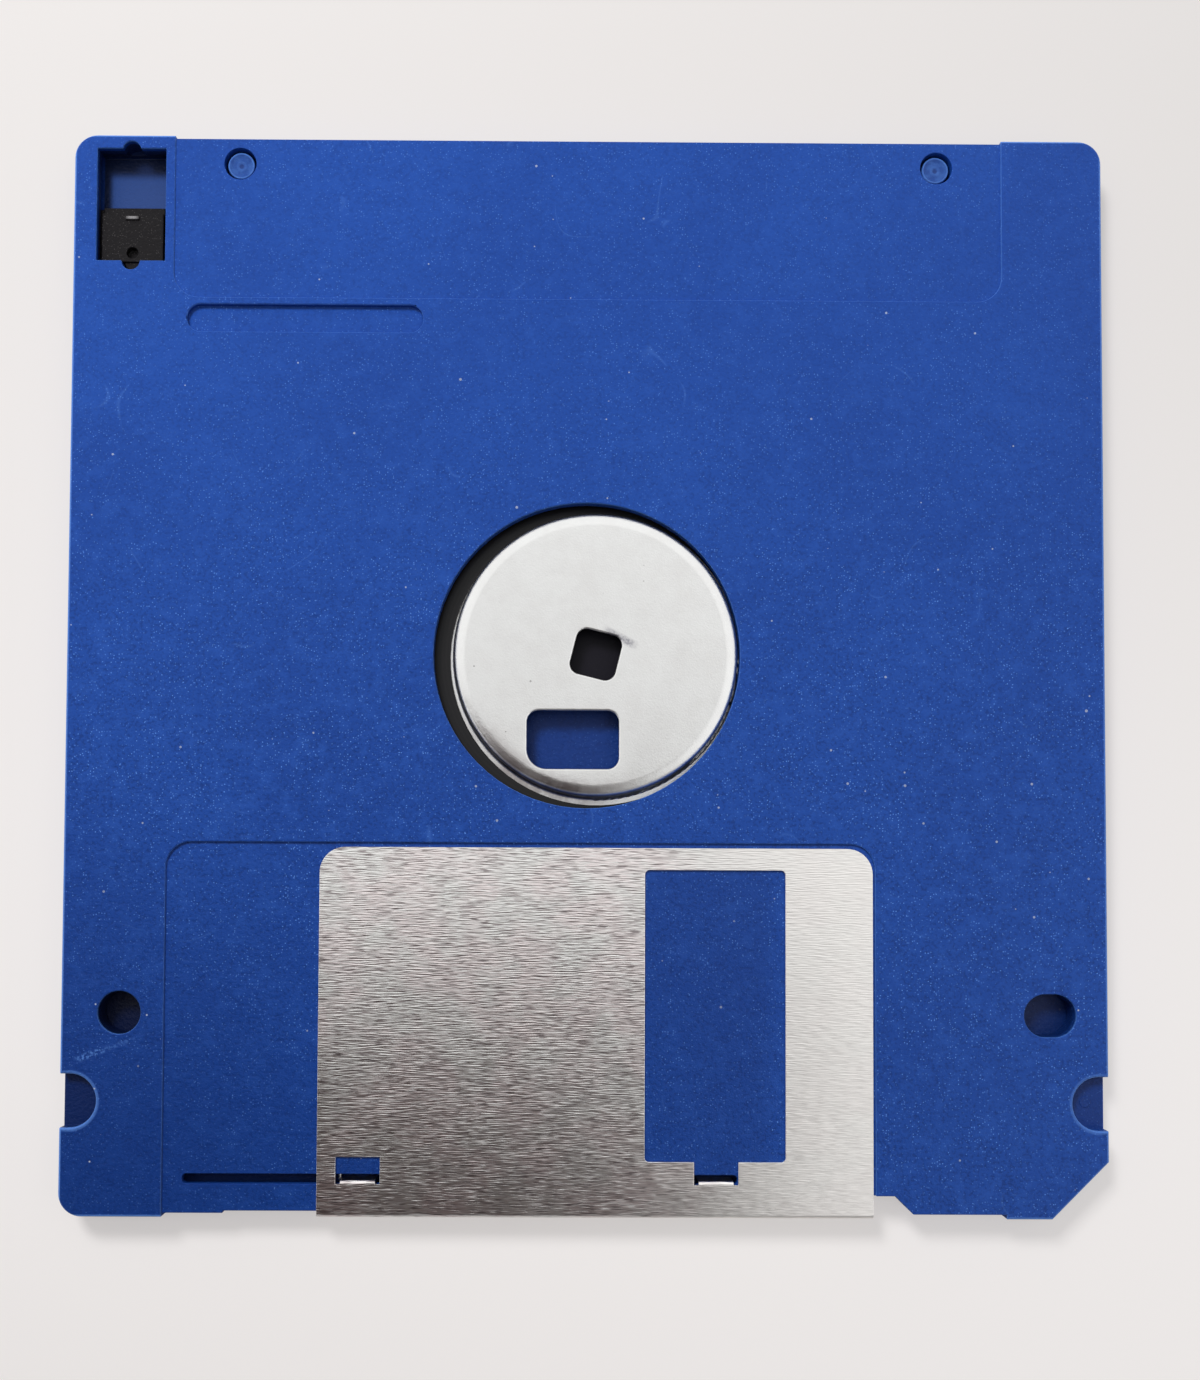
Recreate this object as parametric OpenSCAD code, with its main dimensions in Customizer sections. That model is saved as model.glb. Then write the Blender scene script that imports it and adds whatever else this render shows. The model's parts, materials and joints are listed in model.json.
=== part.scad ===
// A 3.5 inch flexible disk cartridge, lying on its label side with its hub side up.
// The origin is the centre of the base of its bounding box. X runs across the case,
// Y runs from the shutter edge to the label edge, and Z is up. All sizes are in millimetres.

/* [Case] */
// Width of the case
case_w = 90; // [86:0.5:94]
// Length of the case
case_l = 94; // [92:0.5:98]
// Thickness of the closed case
case_t = 3.3; // [3.2:0.1:4]
// Radius of the three round corners
corner_r = 2; // [1:0.25:3]
// Leg of the cut-off corner that shows which way the case goes in
chamfer = 4.9; // [3:0.1:6]
// Thickness of each shell's main wall
wall = 1; // [0.9:0.05:1.1]
// Thickness of the rim that closes the case all round
rim_wall = 1; // [0.8:0.05:1.2]
// Thinnest part of the rim, beside the disk
side_wall = 0.8; // [0.7:0.05:1]
// Thickness of the ribs and bosses inside
rib = 0.8; // [0.6:0.05:1]
// Depth and height of the parting line round the case
seam = 0.12; // [0.05:0.01:0.2]

/* [Label recess] */
// Width of the recess for the label
label_w = 72.4; // [66:0.2:74]
// Depth of the recess for the label
label_depth = 0.2; // [0.1:0.05:0.3]
// Length of the recess on the hub side
label_back_l = 14.35; // [12:0.05:16]
// Length of the recess on the label side
label_front_l = 54.5; // [50:0.5:58]
// Radius of the recess's corners
label_r = 2.2; // [1:0.1:3]
// Distance of the two stake pins from the middle of the case
stake_x = 30.55; // [26:0.05:33]
// Distance of the stake pins from the label edge
stake_inset = 2.4; // [2.2:0.1:3]
// Radius of the stake pins
stake_r = 1.175; // [0.9:0.025:1.3]
// Gap between a stake pin and its hole
stake_gap = 0.225; // [0.05:0.025:0.25]
// How far a stake pin's face lies below the recess
stake_sink = 0.5; // [0.3:0.05:0.8]

/* [Finger groove] */
// Length of the groove
groove_l = 20.6; // [15:0.1:24]
// Width of the groove
groove_w = 2.45; // [1.5:0.05:3]
// Radius of the groove's ends
groove_r = 1.2; // [0.5:0.05:1.2]
// Depth of the groove
groove_depth = 0.5; // [0.2:0.05:0.6]
// Gap between the groove and the label recess
groove_gap = 0.6; // [0.4:0.05:1]

/* [Write-protect slider] */
// Distance of the slider's well from the side of the case
well_side = 2; // [1.75:0.05:2.4]
// Distance of the well from the label edge
well_top = 1.2; // [0.9:0.05:1.4]
// Width of the well
well_w = 6; // [5:0.1:6.5]
// Length of the well
well_l = 9.95; // [9.6:0.05:10.6]
// Radius of the half-round notch in each end of the well
well_notch_r = 0.8; // [0.5:0.05:0.9]
// Height of the well's floor over the label side's inner face
well_floor = 0.2; // [0.1:0.05:0.3]
// Length of the slider
slider_l = 5; // [4.4:0.1:5.1]
// How far the slider's wings reach under the well's sides
slider_wing = 0.6; // [0.3:0.05:0.7]
// Thickness of the wings
wing_t = 0.85; // [0.7:0.05:0.9]
// How far the slider's face lies below the case's face
slider_sink = 0.5; // [0.2:0.05:0.7]
// Width of the gap beside the slider
slider_side_gap = 0.3; // [0.15:0.05:0.6]
// Side of the sensing hole in the label side
sense_w = 4; // [3:0.1:4.2]

/* [Locating holes and grip notches] */
// Distance of the two locating holes from the sides of the case
locate_inset = 5; // [4.4:0.1:7]
// Distance of the locating holes from the shutter edge
locate_from_edge = 17.4; // [17:0.1:20]
// Radius of the round locating hole
locate_r = 1.85; // [1.5:0.05:2]
// How much longer than wide the second locating hole is
locate_slot = 0.8; // [0.4:0.1:1]
// Radius of the half-round notch in each side
grip_r = 2.3; // [1.8:0.1:2.5]
// Distance of the notch's centre inside the side of the case
grip_inset = 0.8; // [0.6:0.1:1.2]
// Distance of the notches from the shutter edge
grip_from_edge = 9.85; // [9:0.05:10.5]
// Depth of the notches below the case's face
grip_depth = 1.2; // [1:0.05:1.5]

/* [Shutter] */
// Width of the shutter
shutter_w = 47.7; // [46:0.1:49]
// Margin of the shutter above its window
shutter_margin = 1.9; // [1.5:0.1:3]
// Thickness of its sheet metal
shutter_t = 0.2; // [0.15:0.01:0.22]
// Distance from the case's middle to the closed shutter's right edge
shutter_right = 24.75; // [24:0.05:25.5]
// Radius of the shutter's two outer corners
shutter_r = 2.2; // [1:0.1:3]
// Inner radius of its folds
fold_r = 0.2; // [0.1:0.05:0.3]
// Running gap between the shutter and the case
shutter_gap = 0.05; // [0.04:0.01:0.08]
// How far the shutter slides to open
shutter_travel = 12.5; // [11.5:0.1:12.8]
// Width of the shutter's window
slot_w = 12.1; // [11:0.1:12.6]
// Distance from the case's middle to the window's middle when closed
slot_x = 11.15; // [11:0.05:11.8]
// How much longer the shutter's window is than the case's
slot_extra = 0.6; // [0.4:0.05:1]
// Radius of the window's corners
slot_r = 0.4; // [0.2:0.05:0.8]
// Length of the guide tabs along the edge
tab_w = 3; // [2.4:0.1:3.4]
// How far a guide tab reaches down from the shutter's face
tab_h = 2.05; // [1.6:0.05:2.1]
// Distance from the shutter's left edge to the left guide tab's middle
tab_inset = 3.5; // [2.6:0.05:5]
// Cut beside and above each tab
tab_relief = 0.4; // [0.2:0.05:0.5]
// Distance from the shutter edge to the tabs' outer faces
tab_from_edge = 2.95; // [2.9:0.05:3.1]

/* [Disk and hub] */
// Radial room round the disk when it is centred
disk_gap = 1.3; // [1.2:0.05:1.6]
// Thickness of the magnetic film
film_t = 0.08; // [0.05:0.01:0.12]
// Radius of the hub's crown
crown_r = 12.35; // [11.8:0.05:12.6]
// Gap round the crown in the case when it is centred
crown_gap = 0.95; // [0.9:0.05:1.2]
// How far the crown's top lies below the case's face
crown_sink = 0.15; // [0.05:0.05:0.3]
// Thickness of the hub's sheet metal
hub_t = 0.3; // [0.2:0.05:0.35]
// Outer radius of the crown's round shoulder
shoulder_r = 0.8; // [0.5:0.05:0.9]
// Inner radius of the fold at the crown's foot
foot_r = 0.3; // [0.2:0.05:0.4]
// Radius of the hub's flange
flange_r = 15.6; // [14.8:0.1:16]
// Side of the square spindle hole
spindle_w = 4; // [3.6:0.1:4.4]
// Radius of the square hole's corners
spindle_corner_r = 0.9; // [0.4:0.1:1.2]
// Turn of the square hole, in degrees
spindle_turn = -14; // [-45:1:45]
// Width of the drive pin's window
drive_w = 7.95; // [7:0.05:8.4]
// Length of the drive pin's window
drive_l = 5.05; // [4.4:0.05:5.2]
// Radius of three of the window's corners
drive_r = 1; // [0.5:0.1:1.2]
// Radius of the window's fourth corner
drive_wide_r = 1.7; // [1:0.1:2]
// Thickness of the glue ring between hub and film
glue_t = 0.05; // [0.03:0.01:0.08]
// How far the loose disk lies to the right of the spindle axis
float_x = 0.78; // [0:0.01:0.8]
// How far the loose disk lies towards the label edge
float_y = 0.1; // [-0.2:0.01:0.2]
// How far the film is glued off the hub's centre
film_off = 0.25; // [0:0.05:0.25]

/* [Liners] */
// Thickness of the two cleaning liners
liner_t = 0.25; // [0.15:0.01:0.26]
// Gap between a liner's edge and the cavity's wall
liner_gap = 0.5; // [0.3:0.1:1]
// Radial room round the hub inside the liners
liner_hub_gap = 1.3; // [1.2:0.1:2]
// Width of the lifter flap
lifter_w = 13; // [10:0.5:16]
// Length of the lifter flap
lifter_l = 22; // [18:0.5:24]
// Thickness of the lifter flap
lifter_t = 0.2; // [0.1:0.01:0.25]
// Radius of the wear pad under the hub
pad_r = 4; // [3:0.1:4.4]
// Thickness of the wear pad
pad_t = 0.25; // [0.15:0.05:0.4]

/* [Head window] */
// Width of the window for the heads
head_w = 9; // [8:0.1:9.2]
// Distance from the opening for the hub to the window for the heads
head_below_hub = 5.6; // [4:0.1:7]
// Distance of the window from the shutter edge
head_from_edge = 5.1; // [5:0.05:5.6]
// Radius of the window's corners
head_r = 1.2; // [0.5:0.1:2]

/* [Shutter spring] */
// Diameter of the spring's wire
wire_d = 0.25; // [0.15:0.01:0.26]
// Mean radius of the spring's coil
coil_r = 1.15; // [0.8:0.05:1.3]
// Whole turns of the coil
coil_turns = 3; // [2:1:3]
// Radius of the post that holds the fixed leg
post_r = 0.8; // [0.6:0.05:1]
// Distance of the post from the side of the case
post_side = 2.8; // [2.4:0.1:3.2]
// Distance of the post from the shutter edge
post_from_edge = 3.4; // [3:0.1:3.8]
// How far the coil stands over the line between the spring's ends
coil_rise = 3.4; // [3:0.1:4]

/* [Hidden] */
$fn = 96;

// Overshoot of cuts past the face that they open
eps = 1;
// Smallest gap between loose pieces
play = 0.1;

// Colours
case_blue = [0.13, 0.29, 0.62];
sheet_steel = [0.80, 0.80, 0.78];
spring_steel = [0.60, 0.61, 0.63];
slider_black = [0.09, 0.09, 0.10];
film_brown = [0.10, 0.09, 0.09];
liner_white = [0.93, 0.93, 0.91];
glue_amber = [0.55, 0.47, 0.33];

// Edges and levels of the case
right = case_w / 2;
top = case_l / 2;
edge = -case_l / 2;
split_z = case_t / 2;
floor_z = wall;
roof_z = case_t - wall;

// Guide tabs and the groove that they run in
shutter_left = shutter_right - shutter_w;
tab_y = edge + tab_from_edge;
tab_left_x = shutter_left + tab_inset;
tab_right_x = slot_x + 0.1;
tab_window_l = 2.2;
guide_low = tab_y - 0.15;
guide_high = tab_y + shutter_t + 0.5;
guide_left = tab_left_x - tab_w / 2 - shutter_travel - 1.05;
guide_right = tab_right_x + tab_w / 2 + 0.35;
channel_high = guide_high + 0.15;

// Disk cavity: the largest circle between the guide channel, the label edge and the sides
channel_web = 0.4;
top_wall = 1.2;
cavity_r = min(right - side_wall, (top - label_depth - top_wall - channel_high - channel_web) / 2);
spindle_y = channel_high + channel_web + cavity_r;
ring_r = cavity_r + rib;
crown_hole_r = crown_r + crown_gap;

// Windows for the heads in the case and in the shutter
head_bottom = edge + head_from_edge;
head_top = spindle_y - crown_hole_r - head_below_hub;
slot_bottom = head_bottom - slot_extra / 2;
slot_top = head_top + slot_extra / 2;

// Shutter and the recess that it slides in, on both faces
shutter_top = slot_top + shutter_margin;
recess_depth = shutter_t + 2 * shutter_gap;
recess_left = shutter_left - shutter_travel - 0.75;
recess_right = shutter_right + 0.2;
recess_top = shutter_top + 0.4;
track_step = 0.3;
track_step_l = 5.2;
track_cut = shutter_t + 0.3;

// Notch in the shutter edge, where the lever pushes the shutter
lever_depth = 1.95;
lever_left = shutter_right - shutter_travel - 1.25;
lever_right = shutter_right + 1.85;
strip_cut = 0.4;
strip_right = label_w / 2;

// Disk, hub and their levels
film_r = cavity_r - disk_gap;
film_hole_r = crown_r + foot_r + 0.15;
film_z = split_z - film_t / 2;
flange_z = film_z - glue_t - hub_t;
crown_z = case_t - crown_sink;
film_off_turn = 287;
spindle_hub = [float_x, spindle_y + float_y];
drive_x = -1.975;
drive_y = -7.425;

// Grip notches, locating holes and stake pins
grip_y = edge + grip_from_edge;
locate_x = right - locate_inset;
locate_y = edge + locate_from_edge;
boss_gap = 0.05;
stake_y = top - stake_inset;
stake_z = case_t - label_depth - stake_sink;
dimple_r = 0.22;
dimple_depth = 0.15;

// Slider, its well and the pocket for its wings
well_left = -right + well_side;
well_x = well_left + well_w / 2;
well_high = top - well_top;
well_low = well_high - well_l;
pocket_w = well_w + 2 * (slider_wing + play);
pocket_high = well_high + 0.25;
pocket_low = well_low - well_notch_r - play;
well_z = floor_z + well_floor;
slider_z = well_z + boss_gap;
slider_y = well_low + play;
slider_step_l = 0.7;
slider_step_h = 0.4;

// Liners and the flap under the lower one
liner_r = cavity_r - liner_gap;
liner_hole_r = flange_r + liner_hub_gap;
liner_window_gap = 0.6;
lifter_x = -head_w / 2 - liner_window_gap - lifter_w - 2;
lifter_y = spindle_y - sqrt(liner_r ^ 2 - lifter_x ^ 2) + 1;
lifter_gap = 0.1;

// Spring: its two ends, its coil and the levels of its wire
post = [-right + post_side, edge + post_from_edge];
fixed_end = [post.x + post_r + wire_d / 2 + 0.05, post.y];
tab_edge_x = tab_left_x - tab_w / 2;
moving_end = [tab_edge_x - wire_d / 2 - 0.05, tab_y + shutter_t / 2];
coil_centre = (fixed_end + moving_end) / 2 + [0, coil_rise];
coil_pitch = wire_d * 1.08;
wire_z = floor_z + wire_d / 2 + play;
hook_l = 0.6;
wire_sides = 8;
ring_step = 18;

// Rectangle between two corners, with round corners
module round_rect(low, high, r) {
    translate([low.x + r, low.y]) square([high.x - low.x - 2 * r, high.y - low.y]);
    translate([low.x, low.y + r]) square([high.x - low.x, high.y - low.y - 2 * r]);
    for (x = [low.x + r, high.x - r], y = [low.y + r, high.y - r])
        translate([x, y]) circle(r);
}

// Rectangle between two corners
module rect(low, high) {
    translate(low) square(high - low);
}

// Flat ring
module ring(outer_r, inner_r) {
    difference() {
        circle(outer_r);
        circle(inner_r);
    }
}

// Quarter of a flat ring, in the quadrant that x_side and y_side name
module quarter_ring(outer_r, inner_r, x_side, y_side) {
    intersection() {
        ring(outer_r, inner_r);
        rect([min(0, x_side) * outer_r, min(0, y_side) * outer_r],
             [max(0, x_side) * outer_r, max(0, y_side) * outer_r]);
    }
}

// Strip cut off the shutter edge
module edge_strip(from_x, to_x, depth, inset) {
    rect([from_x - inset, edge - eps], [to_x + inset, edge + depth + inset]);
}

// Notch in the shutter edge with one sloping side
module lever_notch(inset) {
    slope = inset * (sqrt(2) - 1);
    high = lever_depth + inset;
    translate([0, edge])
        polygon([
            [lever_left - inset, -eps],
            [lever_left - inset, high],
            [lever_right + slope, high],
            [lever_right + slope + high + eps, -eps]
        ]);
}

// Outline of the case seen from above, or the same outline moved inwards by inset
module case_outline(inset = 0) {
    cut = chamfer + inset * sqrt(2);
    difference() {
        round_rect([-right + inset, edge + inset], [right - inset, top - inset],
                   max(corner_r - inset, 0.3));
        polygon([
            [right - cut - eps, edge - eps],
            [right + eps, edge - eps],
            [right + eps, edge + cut + eps]
        ]);
        rect([-label_w / 2 - inset, top - label_depth - inset], [label_w / 2 + inset, top + eps]);
        edge_strip(recess_left, recess_left + track_step_l, track_step, inset);
        edge_strip(recess_left + track_step_l, lever_left, track_cut, inset);
        edge_strip(lever_right, strip_right, strip_cut, inset);
        lever_notch(inset);
    }
}

// Second locating hole, a short slot along X, widened by grow
module locate_slot_shape(grow = 0) {
    for (side = [-1, 1])
        translate([side * locate_slot / 2, 0]) circle(locate_r + grow);
    square([locate_slot, 2 * (locate_r + grow)], center = true);
}

// Both locating holes, widened by grow
module locate_holes(grow = 0) {
    translate([-locate_x, locate_y]) circle(locate_r + grow);
    translate([locate_x, locate_y]) locate_slot_shape(grow);
}

// Half-round grip notches in both sides, widened by grow
module grip_notches(grow = 0) {
    for (side = [-1, 1])
        translate([side * (right - grip_inset), grip_y]) {
            circle(grip_r + grow);
            translate([side * grip_r / 2, 0])
                square([grip_r, 2 * (grip_r + grow)], center = true);
        }
}

// Two round shapes at the stake pins
module stakes(r) {
    for (side = [-1, 1])
        translate([side * stake_x, stake_y]) circle(r);
}

// Pocket for the slider's wings, widened by grow
module slider_pocket(grow = 0) {
    rect([well_x - pocket_w / 2 - grow, pocket_low - grow],
         [well_x + pocket_w / 2 + grow, pocket_high + grow]);
}

// Opening of the slider's well, with a notch in each end
module well_opening() {
    rect([well_left, well_low], [well_left + well_w, well_high]);
    for (y = [well_low, well_high - 0.15])
        translate([well_x, y]) circle(well_notch_r);
}

// Window for the heads, widened by grow
module head_window(grow = 0) {
    round_rect([-head_w / 2 - grow, head_bottom - grow], [head_w / 2 + grow, head_top + grow], head_r);
}

// Recess that the shutter slides in, open at the shutter edge
module shutter_recess() {
    round_rect([recess_left, edge - 4 * eps], [recess_right, recess_top], shutter_r);
}

// Recess for the label, open at the label edge
module label_recess(length) {
    round_rect([-label_w / 2, top - length], [label_w / 2, top + 4 * eps], label_r);
}

// Walls inside the rim that both shells share: rim, disk ring, slider pocket and bosses
module wall_plan() {
    difference() {
        intersection() {
            case_outline();
            union() {
                difference() {
                    case_outline();
                    case_outline(rim_wall);
                }
                translate([0, spindle_y]) circle(ring_r);
                slider_pocket(rib);
                grip_notches(rib);
                stakes(stake_r + stake_gap + rib);
            }
        }
        translate([0, spindle_y]) circle(cavity_r);
        slider_pocket();
        rect([guide_left, guide_low - play], [guide_right, channel_high]);
    }
}

// Lower shell, on the label side
module front_shell() {
    color(case_blue) {
        difference() {
            union() {
                linear_extrude(floor_z) case_outline();
                translate([0, 0, floor_z]) linear_extrude(split_z - floor_z) wall_plan();
                translate([0, 0, floor_z]) linear_extrude(well_floor) slider_pocket();
                translate([0, 0, floor_z]) linear_extrude(stake_z - floor_z) stakes(stake_r);
                translate([post.x, post.y, floor_z]) cylinder(roof_z - floor_z - play, r = post_r);
            }
            translate([0, 0, -eps]) linear_extrude(recess_depth + eps) shutter_recess();
            translate([0, 0, -eps]) linear_extrude(label_depth + eps) label_recess(label_front_l);
            translate([0, 0, -eps]) linear_extrude(case_t) head_window();
            translate([well_x, slider_y + slider_l / 2, 0])
                cube([sense_w, sense_w, 2 * case_t], center = true);
            translate([0, 0, floor_z - lifter_t]) linear_extrude(lifter_t + eps) lifter_shape(lifter_gap);
            translate([0, 0, stake_z - dimple_depth]) linear_extrude(eps) stakes(dimple_r);
            translate([0, 0, split_z - seam])
                linear_extrude(seam + eps)
                    difference() {
                        rect([-case_w, -case_l], [case_w, case_l]);
                        case_outline(seam);
                    }
        }
    }
}

// Upper shell, on the hub side
module back_shell() {
    color(case_blue) {
        difference() {
            union() {
                translate([0, 0, roof_z]) linear_extrude(wall) case_outline();
                translate([0, 0, split_z]) linear_extrude(roof_z - split_z) wall_plan();
                translate([0, 0, floor_z + boss_gap])
                    linear_extrude(roof_z - floor_z - boss_gap) locate_holes(rib);
            }
            translate([0, 0, case_t - recess_depth]) linear_extrude(eps) shutter_recess();
            translate([0, 0, case_t - label_depth]) linear_extrude(eps) label_recess(label_back_l);
            translate([0, 0, case_t - groove_depth]) linear_extrude(eps) finger_groove();
            translate([0, 0, floor_z]) linear_extrude(case_t) head_window();
            translate([0, 0, floor_z]) linear_extrude(case_t) locate_holes();
            translate([0, 0, case_t - grip_depth]) linear_extrude(case_t) grip_notches();
            translate([0, 0, split_z - eps]) linear_extrude(case_t) stakes(stake_r + stake_gap);
            translate([0, 0, split_z - eps]) linear_extrude(case_t) well_opening();
            translate([0, 0, split_z]) linear_extrude(case_t) guide_slot();
            translate([0, spindle_y, floor_z]) cylinder(case_t, r = crown_hole_r);
        }
    }
}

// Shallow groove for a finger nail below the label recess
module finger_groove() {
    high = top - label_back_l - groove_gap;
    left = -label_w / 2 + 1.2;
    round_rect([left, high - groove_w], [left + groove_l, high], groove_r);
}

// Slot that the shutter's tabs run in
module guide_slot() {
    round_rect([guide_left, guide_low], [guide_right, guide_high], (guide_high - guide_low) / 2 - 0.05);
}

// Section of the folded shutter in the Y-Z plane
module shutter_section() {
    low = shutter_gap;
    high = case_t - shutter_gap;
    outer = fold_r + shutter_t;
    for (z = [low, high - shutter_t])
        rect([edge + outer, z], [shutter_top, z + shutter_t]);
    rect([edge, low + outer], [edge + shutter_t, high - outer]);
    translate([edge + outer, low + outer]) quarter_ring(outer, fold_r, -1, -1);
    translate([edge + outer, high - outer]) quarter_ring(outer, fold_r, -1, 1);
}

// Section of a guide tab: its fold and the part that hangs in the groove
module tab_section() {
    face = case_t - shutter_gap;
    outer = fold_r / 2 + shutter_t;
    rect([tab_y, face - tab_h], [tab_y + shutter_t, face - outer]);
    translate([tab_y + shutter_t - outer, face - outer]) quarter_ring(outer, fold_r / 2, 1, 1);
    rect([tab_y - tab_relief, face - shutter_t], [tab_y + shutter_t - outer, face]);
}

// Extrudes a Y-Z section along X
module along_x(from_x, length) {
    translate([from_x, 0, 0]) rotate([90, 0, 90]) linear_extrude(length) children();
}

// Folded sheet-metal shutter, closed
module shutter() {
    tabs = [tab_left_x, tab_right_x];
    color(sheet_steel) {
        difference() {
            intersection() {
                along_x(shutter_left, shutter_w) shutter_section();
                translate([0, 0, -eps])
                    linear_extrude(case_t + 2 * eps)
                        round_rect([shutter_left, edge - 4 * eps], [shutter_right, shutter_top], shutter_r);
            }
            translate([0, 0, -eps])
                linear_extrude(case_t + 2 * eps)
                    round_rect([slot_x - slot_w / 2, slot_bottom], [slot_x + slot_w / 2, slot_top], slot_r);
            for (x = tabs)
                translate([x - tab_w / 2 - tab_relief, tab_y - play, split_z])
                    cube([tab_w + 2 * tab_relief, tab_window_l + play, case_t]);
        }
        for (x = tabs)
            along_x(x - tab_w / 2, tab_w) tab_section();
    }
}

// Angle at which a wire to the point leaves a circle: side is 1 for the way in, -1 for the way out
function tangent_angle(from, to, r, side) =
    let (d = to - from)
    atan2(d.y, d.x) + side * acos(r / norm(d));

// Centre line of the spring: hook, fixed leg, coil, moving leg, hook
function spring_path() =
    let (
        start = tangent_angle(coil_centre, fixed_end, coil_r, 1),
        finish = tangent_angle(coil_centre, moving_end, coil_r, -1),
        sweep = finish - start + 360 * ceil((start - finish) / 360) + 360 * (coil_turns - 1),
        steps = ceil(sweep / ring_step),
        high_z = wire_z + coil_pitch * sweep / 360,
        coil = [
            for (i = [0:steps])
                let (a = start + sweep * i / steps)
                [coil_centre.x + coil_r * cos(a), coil_centre.y + coil_r * sin(a),
                 wire_z + (high_z - wire_z) * i / steps]
        ]
    )
    concat(
        [[fixed_end.x, fixed_end.y - hook_l, wire_z], [fixed_end.x, fixed_end.y, wire_z]],
        coil,
        [[moving_end.x, moving_end.y + hook_l, high_z], [moving_end.x, moving_end.y - hook_l / 2, high_z]]
    );

// Direction of the path at point i
function path_way(path, i) =
    let (d = path[min(i + 1, len(path) - 1)] - path[max(i - 1, 0)])
    d / norm(d);

// Ring of points round the path at point i
function wire_ring(path, i) =
    let (
        way = path_way(path, i),
        across = cross([0, 0, 1], way),
        u = across / norm(across) * wire_d / 2,
        v = cross(way, u),
        step = 360 / wire_sides
    )
    [for (k = [0:wire_sides - 1]) path[i] + cos(k * step) * u + sin(k * step) * v];

// Round wire along a path
module wire(path) {
    n = wire_sides;
    last = (len(path) - 1) * n;
    points = [for (i = [0:len(path) - 1]) each wire_ring(path, i)];
    sides = [
        for (i = [0:len(path) - 2], k = [0:n - 1])
            [i * n + k, (i + 1) * n + k, (i + 1) * n + (k + 1) % n, i * n + (k + 1) % n]
    ];
    start_cap = [for (k = [0:n - 1]) k];
    end_cap = [for (k = [n - 1:-1:0]) last + k];
    polyhedron(points, concat([start_cap], sides, [end_cap]));
}

// Torsion spring that closes the shutter
module shutter_spring() {
    color(spring_steel) wire(spring_path());
}

// Slider over the sensing hole, at the end where writing is allowed
module write_protect_slider() {
    body_w = well_w - 2 * slider_side_gap;
    face_z = case_t - slider_sink;
    ridge_w = body_w * 0.22;
    ridge_t = 0.3;
    color(slider_black)
        difference() {
            union() {
                translate([well_x - well_w / 2 - slider_wing, slider_y, slider_z])
                    cube([well_w + 2 * slider_wing, slider_l, wing_t]);
                translate([well_x - body_w / 2, slider_y, slider_z])
                    cube([body_w, slider_l, face_z - slider_z]);
                translate([well_x, well_low + play / 2, slider_z])
                    cylinder(face_z - slider_z - 0.2, r = well_notch_r - play);
                translate([well_x - ridge_w / 2, slider_y + slider_l - slider_step_l - 2 * ridge_t, slider_z])
                    cube([ridge_w, ridge_t, face_z + 0.2 - slider_z]);
            }
            translate([well_x - body_w / 2, slider_y + slider_l - slider_step_l, face_z - slider_step_h])
                translate([-eps, 0, 0])
                    cube([body_w + 2 * eps, slider_step_l + eps, slider_step_h + eps]);
            translate([well_x, slider_y + 0.8, face_z - 0.6]) cylinder(0.6 + eps, r = 0.5);
        }
}

// Round film that holds the data
module magnetic_disk() {
    color(film_brown)
        translate([spindle_hub.x, spindle_hub.y, film_z])
            rotate(film_off_turn) translate([film_off, 0, 0])
                linear_extrude(film_t) ring(film_r, film_hole_r);
}

// Glue ring between the hub's flange and the film
module hub_glue_ring() {
    color(glue_amber)
        translate([spindle_hub.x, spindle_hub.y, film_z - glue_t])
            linear_extrude(glue_t) ring(flange_r - 0.2, film_hole_r + film_off + play);
}

// Radial section of the hub: crown, shoulder, wall, foot and flange
module hub_section() {
    shoulder_in = shoulder_r - hub_t;
    foot_out = foot_r + hub_t;
    rect([0, crown_z - hub_t], [crown_r - shoulder_r, crown_z]);
    translate([crown_r - shoulder_r, crown_z - shoulder_r]) quarter_ring(shoulder_r, shoulder_in, 1, 1);
    rect([crown_r - hub_t, flange_z + foot_out], [crown_r, crown_z - shoulder_r]);
    translate([crown_r + foot_r, flange_z + foot_out]) quarter_ring(foot_out, foot_r, -1, -1);
    rect([crown_r + foot_r, flange_z], [flange_r, flange_z + hub_t]);
}

// Window for the drive pin, with one wider corner
module drive_window() {
    low = [drive_x - drive_w / 2, drive_y - drive_l / 2];
    high = [drive_x + drive_w / 2, drive_y + drive_l / 2];
    difference() {
        round_rect(low, high, drive_r);
        rect(low, low + [drive_wide_r, drive_wide_r]);
    }
    translate(low + [drive_wide_r, drive_wide_r]) circle(drive_wide_r);
}

// Stamped hub with its square spindle hole and drive pin window
module hub() {
    half = spindle_w / 2;
    color(sheet_steel)
        translate([spindle_hub.x, spindle_hub.y, 0])
            difference() {
                rotate_extrude() hub_section();
                translate([0, 0, split_z]) linear_extrude(case_t) {
                    rotate(spindle_turn) round_rect([-half, -half], [half, half], spindle_corner_r);
                    drive_window();
                }
            }
}

// Annular liner with a cut for the head window
module liner_shape(hole_r) {
    difference() {
        translate([0, spindle_y]) ring(liner_r, hole_r);
        head_window(liner_window_gap);
    }
}

// Cleaning liner under the upper shell
module back_liner() {
    color(liner_white)
        translate([0, 0, roof_z - liner_t]) linear_extrude(liner_t) liner_shape(crown_hole_r + liner_gap);
}

// Cleaning liner on the lower shell
module front_liner() {
    color(liner_white)
        translate([0, 0, floor_z]) linear_extrude(liner_t) liner_shape(liner_hole_r);
}

// Outline of the lifter flap, widened by grow
module lifter_shape(grow = 0) {
    rect([lifter_x - grow, lifter_y - grow], [lifter_x + lifter_w + grow, lifter_y + lifter_l + grow]);
}

// Flap in the lower shell that presses the liner against the film
module liner_lifter() {
    color(film_brown)
        translate([0, 0, floor_z - lifter_t]) linear_extrude(lifter_t) lifter_shape();
}

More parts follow.
